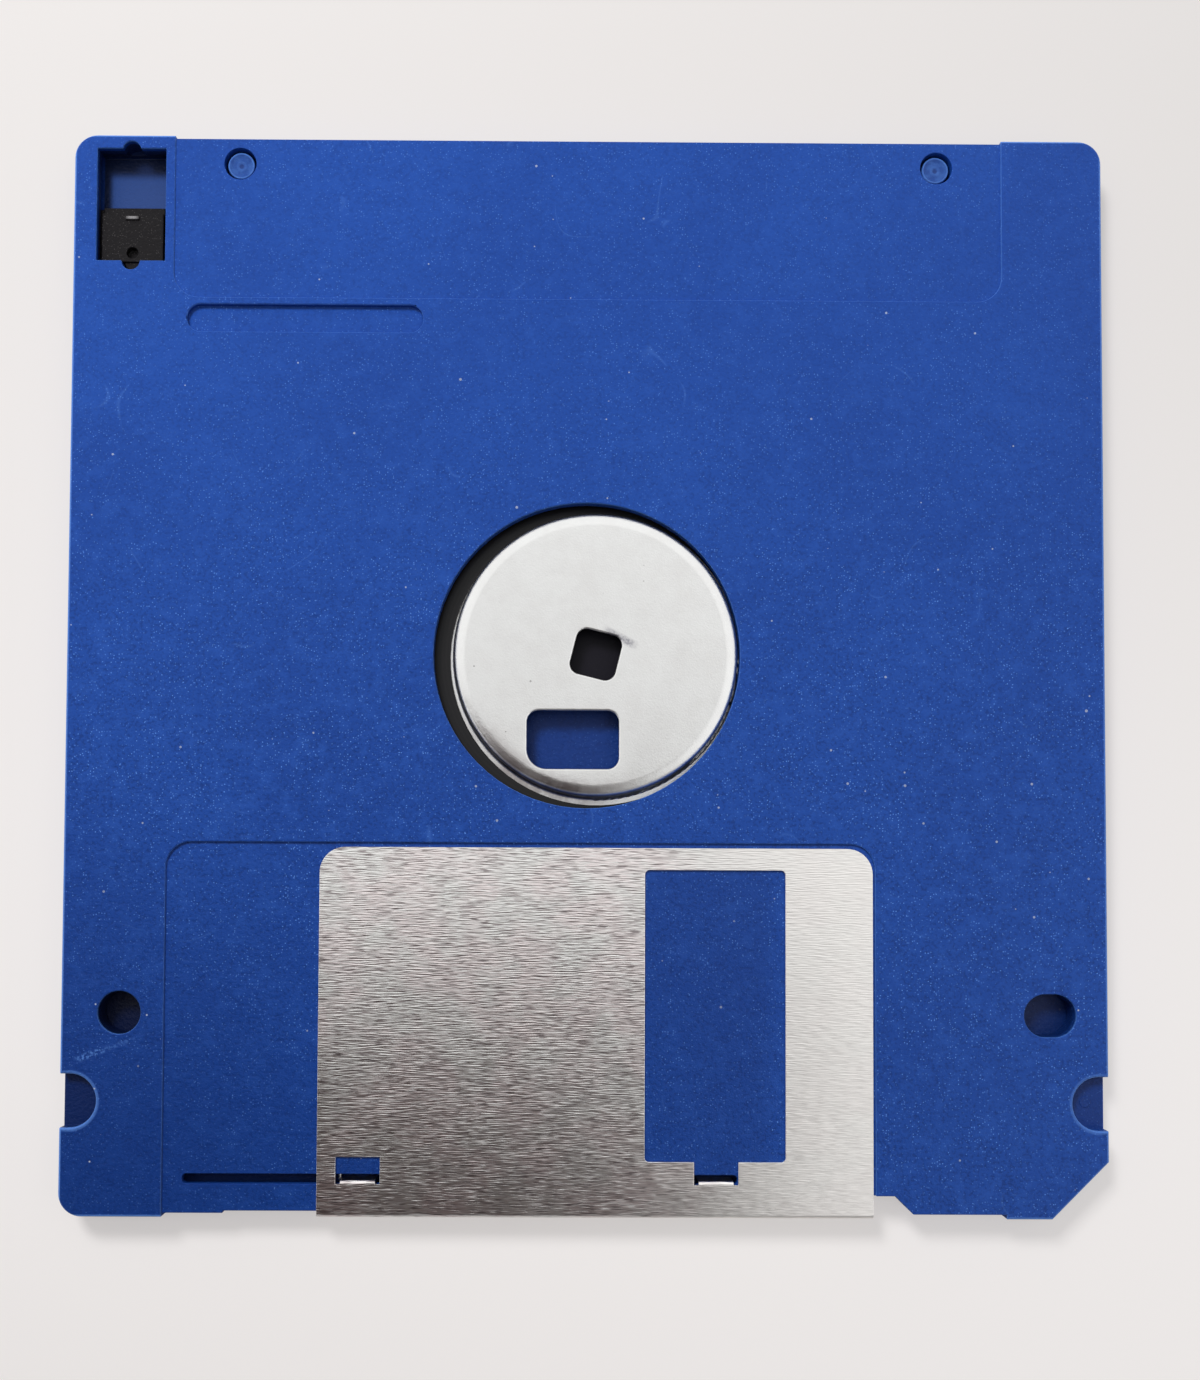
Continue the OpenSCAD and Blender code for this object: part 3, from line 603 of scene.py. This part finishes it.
base = over(tree, base, scuff(tree, place, -42.4, -33.2, 20, 3.2, 0.4), 0.6, PALE_BLUE)
base = over(tree, base, scuff(tree, place, -40.2, -32.4, 20, 4.2, 0.3), 0.25, PALE_BLUE)
for x, y in CRUMBS:
    base = over(tree, base, disc_mask(tree, place, x, y, 0.07, 0.04), 0.8, DUST)
paint(tree, shader, base)
emboss(tree, shader, case_skin["Height"], 0.09 * mm)
print("finish:", case_blue.name, len(tree.nodes), "nodes")

# %% [markdown]
# ** Stake heads.** The plastic of a pressed head is smeared rather than grained: glossier and finely pebbled.
# Its edge and ring are painted paler, partly wear and partly a painted highlight, and the dimple in the
# middle gets painted shade. One mask does for both heads, because the left half of the place is folded onto
# the right.

# %% Rubbed plastic of the stake heads
STAKE_X, STAKE_Y, STAKE_Z = 30.55, 44.6, 2.6
SMEARED_DARK = (0.008, 0.052, 0.25, 1.0)
SMEARED_LIGHT = (0.022, 0.085, 0.32, 1.0)

rubbed_blue, tree, shader, place = new_finish("rubbed_plastic", 0.4, Specular_IOR_Level=0.35)
skin = use(tree, grain, place, Pebble_mm=0.18)
pair = folded(tree, parts(tree, place))
smear = remap(tree, noise(tree, place, 1500.0, 3.0), 0.4, 0.65)
base = blend(tree, smear, SMEARED_DARK, SMEARED_LIGHT)
# Edge and ring painted paler: partly wear, partly a painted highlight.
edge = invert(tree, disc_mask(tree, pair, STAKE_X, STAKE_Y, 1.02, 0.05))
dimple = disc_mask(tree, pair, STAKE_X, STAKE_Y, 0.2, 0.08)
ring = maths(tree, "SUBTRACT", disc_mask(tree, pair, STAKE_X, STAKE_Y, 0.45, 0.06), dimple)
worn_and_highlit = maths(tree, "ADD", edge, both(tree, ring, 0.3))
base = over(tree, base, worn_and_highlit, 0.35, PALE_BLUE)
# Painted shade in the dimple.
base = over(tree, base, dimple, 0.8, SHADED_BLUE)
paint(tree, shader, base)
emboss(tree, shader, skin["Height"], 0.06 * mm)
print("finish:", rubbed_blue.name)

# %% [markdown]
# ** Shutter steel.** The shutter is thin steel, brushed along X. The Principled shader's anisotropy would
# stretch its highlights, but it shows no single scratch, so the strokes bend the normal instead. The left
# two thirds are worn: warm and cool greys drift over them, with dark scratches and rough strokes painted
# bright as glints.

# %% Brushed sheet steel of the shutter
STEEL_FRESH = (0.93, 0.895, 0.855, 1.0)
STEEL_COOL = (0.90, 0.885, 0.85, 1.0)
STEEL_WARM = (0.93, 0.84, 0.82, 1.0)
PAINTED_GLINT = (1.0, 0.97, 0.94, 1.0)
STEEL_SCRATCH = (0.36, 0.31, 0.31, 1.0)

shutter_steel, tree, shader, place = new_finish("brushed_sheet_steel", 0.32, 1.0)
belt = use(tree, brushed, place)
worn = remap(tree, parts(tree, place)["X"], 15 * mm, 3 * mm, 0.12, 0.95)
grey = blend(tree, remap(tree, noise(tree, place, 230.0), 0.38, 0.62), STEEL_COOL, STEEL_WARM)
steel = blend(tree, worn, STEEL_FRESH, grey)
# Painted glints: bright strokes where the scratches would catch the light.
steel = over(tree, steel, belt["Glint"], worn, PAINTED_GLINT)
steel = over(tree, steel, belt["Streak"], worn, STEEL_SCRATCH)
paint(tree, shader, steel)
tree.links.new(remap(tree, belt["Glint"], 0.0, 1.0, 0.29, 0.42), shader.inputs["Roughness"])
emboss(tree, shader, belt["Height"], 0.034 * mm)
print("finish:", shutter_steel.name, len(tree.nodes), "nodes")

# %% [markdown]
# ** Hub steel.** The hub is stamped from satin sheet, so its grain is finer than the plastic's and has no
# direction. It has faint stains, a few dark spots, and a smear beside the square hole where a spindle has
# rubbed. The tips of its grain get a painted highlight, and a brown, speckled painted dark reflection lies
# along the crown's rim at the lower left. The press leaves the crown's rim drooping over its last
# millimetre.
# That is too slight to model, so it goes into the normal.

# %% Satin stamped steel of the hub
SPINDLE = (0.78, 1.5)
CROWN_R = 12.35
HUB_PALE = (0.81, 0.80, 0.78, 1.0)
HUB_DULL = (0.765, 0.75, 0.73, 1.0)
HUB_BRIGHT = (0.95, 0.94, 0.92, 1.0)
HUB_SPOT = (0.20, 0.18, 0.17, 1.0)
HUB_SMEAR = (0.22, 0.21, 0.25, 1.0)
HUB_DARK_REFLECTION = (0.30, 0.26, 0.26, 1.0)

hub_steel, tree, shader, place = new_finish("satin_steel", 0.33, 1.0)
satin = use(tree, grain, place, Pebble_mm=0.14, Swell_mm=0.9, Swell_share=0.3)
spots = use(tree, dust, place, Spacing_mm=0.7, Size=0.12, Share=0.05)
stain = noise(tree, place, 420.0, 4.0, 0.7)
steel = blend(tree, remap(tree, stain, 0.3, 0.75), HUB_PALE, HUB_DULL)
# Painted highlight on the tips of the satin grain.
steel = over(tree, steel, satin["Tips"], 0.5, HUB_BRIGHT)
steel = over(tree, steel, spots["Mask"], 0.6, HUB_SPOT)
steel = over(tree, steel, scuff(tree, place, 2.9, 2.95, -27, 3.8, 0.5, 0.55), 0.75, HUB_SMEAR)
# Painted dark reflection along the crown's rim at the lower left, broken up by the stains.
outer = invert(tree, disc_mask(tree, place, *SPINDLE, 11.2, 0.8))
dark_reflection = both(tree, outer, disc_mask(tree, place, -4.2, -9, 6, 3.5))
dark_reflection = both(tree, dark_reflection, remap(tree, stain, 0.36, 0.6, 0.4, 1.0))
paint(tree, shader, over(tree, steel, dark_reflection, 0.75, HUB_DARK_REFLECTION))
droop = disc_mask(tree, place, *SPINDLE, CROWN_R - 0.58, 0.5)
emboss(tree, shader, maths(tree, "ADD", droop, both(tree, satin["Height"], 0.14)), 0.2 * mm)
print("finish:", hub_steel.name, len(tree.nodes), "nodes")

# %% [markdown]
# ** Black plastics.** The slider is satin black, with a grey painted highlight on top of its ridge. The pad
# under the hub is slippery and duller. Both use the moulded grain, with small pebbles or hardly any depth,
# and paint the tips of the pebbles a little lighter as a painted highlight.

# %% Black satin plastic of the slider and the wear pad
SLIDER_BLACK = (0.006, 0.005, 0.006, 1.0)
SLIDER_TIP = (0.075, 0.07, 0.07, 1.0)
SLIDER_HIGHLIGHT = (0.30, 0.29, 0.30, 1.0)
PAD_DARK = (0.009, 0.008, 0.0125, 1.0)
PAD_TIP = (0.014, 0.013, 0.018, 1.0)

slider_black, tree, shader, place = new_finish("black_plastic", 0.42, Specular_IOR_Level=0.16)
skin = use(tree, grain, place, Pebble_mm=0.2, Swell_mm=0.8)
# Painted highlight on the tips of the pebbles.
black = blend(tree, skin["Tips"], SLIDER_BLACK, SLIDER_TIP)
# Painted highlight on top of the slider's ridge.
on_top = within(tree, parts(tree, place)["Z"], 3.05, 0.1)
ridge_highlight = both(tree, on_top, disc_mask(tree, place, -40, 39.8, 0.45, 0.3))
paint(tree, shader, over(tree, black, ridge_highlight, 0.75, SLIDER_HIGHLIGHT))
emboss(tree, shader, skin["Height"], 0.07 * mm)

pad_black, tree, shader, place = new_finish("pad_black", 0.5, Specular_IOR_Level=0.15)
skin = use(tree, grain, place, Pebble_mm=0.3, Swell_mm=1.2)
# Faint painted highlight on the tips of the pebbles.
paint(tree, shader, blend(tree, skin["Tips"], PAD_DARK, PAD_TIP))
emboss(tree, shader, skin["Height"], 0.01 * mm)
print("finishes:", slider_black.name, pad_black.name)

# %% [markdown]
# **Films and glue.** The recording film is nearly black and smooth, with very faint rings round its axis
# from polishing, so a Mapping node centres a ring pattern there. The lifter flap is plain brown film, and
# the glue under the hub is amber.

# %% Coated film, lifter film and glue
FILM_DARK = (0.008, 0.0075, 0.0085, 1.0)
FILM_LIGHT = (0.011, 0.010, 0.011, 1.0)
LIFTER_DARK = (0.018, 0.016, 0.014, 1.0)
LIFTER_LIGHT = (0.03, 0.026, 0.022, 1.0)
GLUE_DARK = (0.16, 0.11, 0.05, 1.0)
GLUE_LIGHT = (0.30, 0.22, 0.11, 1.0)

disk_brown, tree, shader, place = new_finish("coated_film", 0.3, Specular_IOR_Level=0.25)
to_axis = (-SPINDLE[0] * mm, -SPINDLE[1] * mm, 0.0)
centre = add(tree, "ShaderNodeMapping", {"Vector": place, "Location": to_axis})
rings = add(tree, "ShaderNodeTexWave", {"Vector": centre.outputs[0], "Scale": 900.0, "Distortion": 1.0},
            wave_type="RINGS", rings_direction="Z")
paint(tree, shader, blend(tree, rings.outputs[1], FILM_DARK, FILM_LIGHT))
emboss(tree, shader, rings.outputs[1], 0.0004 * mm)

lifter_brown, tree, shader, place = new_finish("brown_film", 0.35)
paint(tree, shader, blend(tree, noise(tree, place, 400.0), LIFTER_DARK, LIFTER_LIGHT))

glue_amber, tree, shader, place = new_finish("amber_glue", 0.25)
paint(tree, shader, blend(tree, noise(tree, place, 700.0, 3.0), GLUE_DARK, GLUE_LIGHT))
print("finishes:", disk_brown.name, lifter_brown.name, glue_amber.name)

# %% [markdown]
# **Fleece and spring wire.** The liners are white nonwoven fleece, and warped noise with many layers reads
# as its tangled fibres. The spring is drawn wire with the brushed strokes made short and narrow.

# %% White fleece of the liners and drawn steel of the spring
FLEECE_DARK = (0.62, 0.61, 0.58, 1.0)
FLEECE_LIGHT = (0.86, 0.86, 0.84, 1.0)
WIRE_PALE = (0.55, 0.55, 0.56, 1.0)
WIRE_DARK = (0.36, 0.35, 0.35, 1.0)

fleece, tree, shader, place = new_finish("white_fleece", 0.9, Sheen_Weight=0.2)
fibre = noise(tree, place, 2600.0, 4.0, 0.7, 1.5)
paint(tree, shader, blend(tree, fibre, FLEECE_DARK, FLEECE_LIGHT))
emboss(tree, shader, fibre, 0.06 * mm)

spring_steel, tree, shader, place = new_finish("drawn_steel", 0.22, 1.0)
drawn = use(tree, brushed, place, Length_mm=0.6, Width_mm=0.05)
paint(tree, shader, blend(tree, drawn["Streak"], WIRE_PALE, WIRE_DARK))
emboss(tree, shader, drawn["Height"], 0.004 * mm)
print("finishes:", fleece.name, spring_steel.name)

# %% [markdown]
# ## Rounded edges
#
# A CAD edge is perfectly sharp, and no real one is: a mould rounds the case's rim, and a press rounds sheet
# steel. Without that, no edge catches a highlight. A Bevel node would only shade the edge, and the export
# loses it, so the mesh gets a Bevel modifier. The node's loose triangles are copied and merged, flat regions
# become single faces, and each sharp edge gets a share of the bevel that suits its place.

# %% Merged copy of a CAD node
FLAT_ANGLE = 0.002
SHARP_ANGLE = 0.5


def read(items, title, width, kind):
    """Array of one property of all corners, edges or loops of a mesh, width numbers each."""
    values = np.empty(len(items) * width, kind)
    items.foreach_get(title, values)
    return values.reshape(-1, width)


def merged_mesh(node, name):
    """Mesh of a CAD node with equal corners joined: unique rows of its corners, looked up by its loops."""
    source = frame["nodes"][node].data
    spots = np.round(read(source.vertices, "co", 3, np.float32), 8)
    triangles = read(source.loops, "vertex_index", 1, np.int32).reshape(-1, 3)
    unique, index = np.unique(spots, axis=0, return_inverse=True)
    mesh = bpy.data.meshes.new(name)
    mesh.from_pydata(unique, [], index.reshape(-1)[triangles])
    return mesh


def move_corners(mesh, moved_to):
    """Puts every corner (x, y, z) of a mesh at moved_to(x, y, z), in millimetres, as whole arrays."""
    corners = read(mesh.vertices, "co", 3, np.float32).astype(float) / mm
    moved = np.stack(moved_to(*corners.T), -1) * mm
    mesh.vertices.foreach_set("co", moved.astype(np.float32).ravel())


def join_flat_faces(mesh):
    """Joins triangles that lie in one plane. Returns which of the edges that are left are sharp."""
    shape = bmesh.new()
    shape.from_mesh(mesh)
    bmesh.ops.dissolve_limit(shape, angle_limit=FLAT_ANGLE, verts=shape.verts, edges=shape.edges)
    shape.to_mesh(mesh)
    sharp = np.array([edge.calc_face_angle(0.0) > SHARP_ANGLE for edge in shape.edges])
    shape.free()
    return sharp


print("mesh helpers: read, merged_mesh, move_corners, join_flat_faces")

# %% Rounded piece that stands for a CAD node
def round_edges(node, name, material, width, share, moved_to=None):
    """Piece that stands for a CAD node. share(x, y, z) in millimetres gives each sharp edge's part of width.

    moved_to(x, y, z), where given, returns the corners moved, also in millimetres.
    """
    mesh = merged_mesh(node, name)
    sharp = join_flat_faces(mesh)
    if moved_to:
        move_corners(mesh, moved_to)
    spots = read(mesh.vertices, "co", 3, np.float32)
    ends = read(mesh.edges, "vertices", 2, np.int32)
    middle = (spots[ends[:, 0]] + spots[ends[:, 1]]).astype(float) / 2 / mm
    weight = np.where(sharp, share(*middle.T), 0.0).astype(np.float32)
    mesh.attributes.new("bevel_weight_edge", "FLOAT", "EDGE").data.foreach_set("value", weight)
    mesh.polygons.foreach_set("use_smooth", np.ones(len(mesh.polygons), bool))
    mesh.materials.append(material)
    piece = bpy.data.objects.new(name, mesh)
    scene.collection.objects.link(piece)
    bevel = piece.modifiers.new("rounded_edges", "BEVEL")
    bevel.limit_method = "WEIGHT"
    bevel.width = width
    bevel.segments = 3
    bevel.use_clamp_overlap = False
    bevel.harden_normals = True
    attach(piece, frame["nodes"][node]["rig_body"])
    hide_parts(node)
    print(f"{name}: {len(mesh.polygons)} faces, {int(sharp.sum())} sharp edges")
    return piece


# %% [markdown]
# The case's rim is rounded most, the edges of its openings less, and the shallow steps of its recesses
# least, because a rounding wider than half a step would swallow it.

# %% Case halves
CASE_ROUNDING = 0.22


def case_share(x, y, z):
    """1 on the rims of both faces and of the notches, and less on openings, steps and the parting line."""
    corner_x = np.maximum(np.abs(x) - 43, 0)
    corner_y = np.maximum(np.abs(y) - 45, 0)
    near_edge = (np.hypot(corner_x, corner_y) > 1.93) | (x - y > 86.9)
    notch = (np.abs(y - NOTCH_Y) < 2.6) & (np.abs(x) > 41.4)
    outer_face = (z > 3.2) | (z < 0.1)
    step = ((z > 2.9) & (z < 3.2)) | ((z > 0.05) & (z < 0.4))
    parting = (z > 1.45) & (z < 1.75)
    places = [(notch & (z > 3.2)) | (near_edge & outer_face), outer_face, step, parting]
    return np.select(places, [1.0, 0.45, 0.3, 0.2], 0.3)


for node, name in (("back_shell", "back_case"), ("front_shell", "front_case")):
    round_edges(node, name, case_blue, CASE_ROUNDING * mm, case_share)

# %% [markdown]
# The shutter and the slider have the same small rounding all over. On the hub, the light shows that the
# crown's shoulder turns down more tightly than in the CAD. Its arc is drawn in from 0.8 to 0.45 mm, while
# the crown's height and its outer radius stay as they are.

# %% Sheet steel and slider
SHUTTER_ROUNDING = 0.04
HUB_ROUNDING = 0.18
SLIDER_ROUNDING = 0.09
CROWN_Z = 3.15
CAD_SHOULDER = 0.8
SHOULDER = 0.45


def even_share(x, y, z):
    """The same rounding on every sharp edge."""
    return np.ones_like(x)


def hub_share(x, y, z):
    """Full rounding on the upper rims of the punched holes, and a third on other edges."""
    return np.where(z > 3.1, 1.0, 0.3)


def tighter_shoulder(x, y, z):
    """Changes c in the shoulder's arc (R - c + c cos a, Z - c + c sin a) from CAD_SHOULDER to SHOULDER."""
    radius = np.hypot(x - SPINDLE[0], y - SPINDLE[1])
    u = (radius - CROWN_R + CAD_SHOULDER) / CAD_SHOULDER
    v = (z - CROWN_Z + CAD_SHOULDER) / CAD_SHOULDER
    on_arc = (u > -0.01) & (v > -0.01) & (np.abs(np.hypot(u, v) - 1) < 0.02)
    new_radius = np.where(on_arc, CROWN_R - SHOULDER + SHOULDER * u, radius)
    grow = new_radius / np.maximum(radius, 0.001)
    new_x = SPINDLE[0] + (x - SPINDLE[0]) * grow
    new_y = SPINDLE[1] + (y - SPINDLE[1]) * grow
    print("shoulder corners moved:", int(on_arc.sum()))
    return new_x, new_y, np.where(on_arc, CROWN_Z - SHOULDER + SHOULDER * v, z)


round_edges("shutter", "folded_shutter", shutter_steel, SHUTTER_ROUNDING * mm, even_share)
round_edges("hub", "stamped_hub", hub_steel, HUB_ROUNDING * mm, hub_share, tighter_shoulder)
round_edges("write_protect_slider", "slider_block", slider_black, SLIDER_ROUNDING * mm,
            even_share)

# %% [markdown]
# ## Turned details and the spring
#
# The two halves are held by stakes, whose heads were pressed flat and pushed a little rim up round them.
# The mould's ejector pin left a faint ring in one grip notch. Both are profiles turned round an upright
# axis. The spring is a round wire carried along its route. A Screw modifier and a bevelled curve could make
# them, but here all are grids of points worked out at once, so one helper closes and finishes each.

# %% Closed surface from a grid of rings
def ring_piece(name, points, material, body="case"):
    """Piece from an array of rings, shaped (rings, corners, 3) in millimetres. Both end rings are closed."""
    rings, corners = points.shape[:2]
    i, j = np.meshgrid(np.arange(rings - 1), np.arange(corners), indexing="ij")
    k = (j + 1) % corners
    quads = np.stack([i * corners + j, i * corners + k, (i + 1) * corners + k, (i + 1) * corners + j], -1)
    caps = [list(range(corners)), list(range((rings - 1) * corners, rings * corners))]
    mesh = bpy.data.meshes.new(name)
    mesh.from_pydata(points.reshape(-1, 3) * mm, [], quads.reshape(-1, 4).tolist() + caps)
    shape = bmesh.new()
    shape.from_mesh(mesh)
    bmesh.ops.recalc_face_normals(shape, faces=shape.faces)
    shape.to_mesh(mesh)
    shape.free()
    mesh.polygons.foreach_set("use_smooth", np.ones(len(mesh.polygons), bool))
    mesh.materials.append(material)
    piece = bpy.data.objects.new(name, mesh)
    scene.collection.objects.link(piece)
    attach(piece, body)
    print(f"{name}: {len(mesh.polygons)} faces")
    return piece


def turned(centre, radii, heights, waver=0.0, sides=72):
    """Rings (x + r cos a, y + r sin a, z). Waver lifts the upper rings by a slow wave of the angle a."""
    angle = np.linspace(0, 2 * np.pi, sides, endpoint=False)
    wave = 0.6 * np.sin(3 * angle + 1) + 0.4 * np.sin(5 * angle)
    r, z = np.array(radii)[:, None], np.array(heights)[:, None]
    lift = waver * wave * (z - z.min()) / (z.max() - z.min())
    x = centre[0] + r * np.cos(angle)
    y = centre[1] + r * np.sin(angle)
    return np.stack([x, y, z + lift], -1)


# %% Stake heads and the ejector mark
HEAD_WAVER = 0.015
MARK_X = 43.4
head_r = [0.02, 1.14, 1.17, 1.17, 1.13, 1.06, 0.97, 0.86, 0.66, 0.45, 0.36, 0.27, 0.2, 0.1, 0.02]
head_z = [-0.03, -0.03, 0.0, 0.08, 0.15, 0.17, 0.13, 0.07, 0.04, 0.045, 0.055, 0.045, 0.02, 0.008, 0.005]
mark_r = [0.02, 0.5, 0.5, 0.46, 0.40, 0.34, 0.02]
mark_z = [2.08, 2.08, 2.10, 2.125, 2.13, 2.112, 2.11]

for name, sign in (("left_stake_head", -1), ("right_stake_head", 1)):
    head = turned((sign * STAKE_X, STAKE_Y), head_r, STAKE_Z + np.array(head_z), HEAD_WAVER * sign)
    ring_piece(name, head, rubbed_blue)
ring_piece("ejector_mark", turned((MARK_X, NOTCH_Y), mark_r, mark_z), case_blue)

# %% [markdown]
# **The spring's route.** The wire starts at a post in the case, winds three turns and ends behind the
# shutter's tab. Each leg leaves the coil along a tangent. The line of the route is worked out point by point
# in one array, spaced evenly and smoothed, so that the corners at the hooks bend as wire does.

# %% Route of the spring's wire
FIXED_END = np.array([-41.225, -43.6])
MOVING_END = np.array([-21.125, -43.95])
COIL_CENTRE = np.array([-31.175, -40.375])
COIL_R = 1.15
COIL_TURNS = 3
COIL_PITCH = 0.27
COIL_POINTS = 260
WIRE_Z = 1.225
WIRE_STEP = 0.08
HOOK = 0.6
SMOOTHED = 7


def tangent_angle(end, side):
    """Angle at which a line from end touches the coil: its direction plus or minus acos(r / distance)."""
    out = end - COIL_CENTRE
    return np.arctan2(out[1], out[0]) + side * np.arccos(COIL_R / np.hypot(*out))


first = tangent_angle(FIXED_END, 1)
last = tangent_angle(MOVING_END, -1)
sweep = (last - first) % (2 * np.pi) + 2 * np.pi * (COIL_TURNS - 1)
turn = np.linspace(0, sweep, COIL_POINTS)
top_z = WIRE_Z + COIL_PITCH * sweep / (2 * np.pi)
coil = np.stack([COIL_CENTRE[0] + COIL_R * np.cos(first + turn),
                 COIL_CENTRE[1] + COIL_R * np.sin(first + turn),
                 WIRE_Z + (top_z - WIRE_Z) * turn / sweep], -1)
fixed_leg = np.array([[*FIXED_END - (0, HOOK), WIRE_Z], [*FIXED_END, WIRE_Z]])
moving_leg = np.array([[*MOVING_END + (0, HOOK), top_z], [*MOVING_END - (0, HOOK / 2), top_z]])
route = np.concatenate([fixed_leg, coil, moving_leg])
travelled = np.r_[0, np.cumsum(np.linalg.norm(np.diff(route, axis=0), axis=1))]
evenly = np.arange(0, travelled[-1], WIRE_STEP)
route = np.stack([np.interp(evenly, travelled, route[:, axis]) for axis in range(3)], -1)
weights = np.hanning(SMOOTHED) / np.hanning(SMOOTHED).sum()
inside = slice(SMOOTHED // 2, -(SMOOTHED // 2))
route[inside] = np.stack([np.convolve(route[:, axis], weights, "valid") for axis in range(3)], -1)
print("wire length in mm:", round(float(travelled[-1]), 1), "in", len(route), "points")

# %% Spring wire along its route
WIRE_R = 0.125
WIRE_SIDES = 14

ahead = np.gradient(route, axis=0)
ahead /= np.linalg.norm(ahead, axis=1, keepdims=True)
side = np.cross([0, 0, 1], ahead)
side /= np.linalg.norm(side, axis=1, keepdims=True)
upward = np.cross(ahead, side)
angle = np.linspace(0, 2 * np.pi, WIRE_SIDES, endpoint=False)[None, :, None]
wire_rings = route[:, None] + WIRE_R * (np.cos(angle) * side[:, None] + np.sin(angle) * upward[:, None])
wire = ring_piece("spring_wire", wire_rings, spring_steel)
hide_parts("shutter_spring")

# %% [markdown]
# ## Nodes that keep their own mesh
#
# The flat pieces inside the case are right as the CAD has them, so each only gets its finish.

# %% Finishes of the plain nodes
plain_nodes = {"magnetic_disk": disk_brown, "hub_glue_ring": glue_amber, "back_liner": fleece,
               "front_liner": fleece, "liner_lifter": lifter_brown, "hub_wear_pad": pad_black}
for name, material in plain_nodes.items():
    frame["nodes"][name].data.materials[0] = material
print("nodes with a new finish:", len(plain_nodes))

# %% View settings
scene.view_settings.view_transform = "Standard"
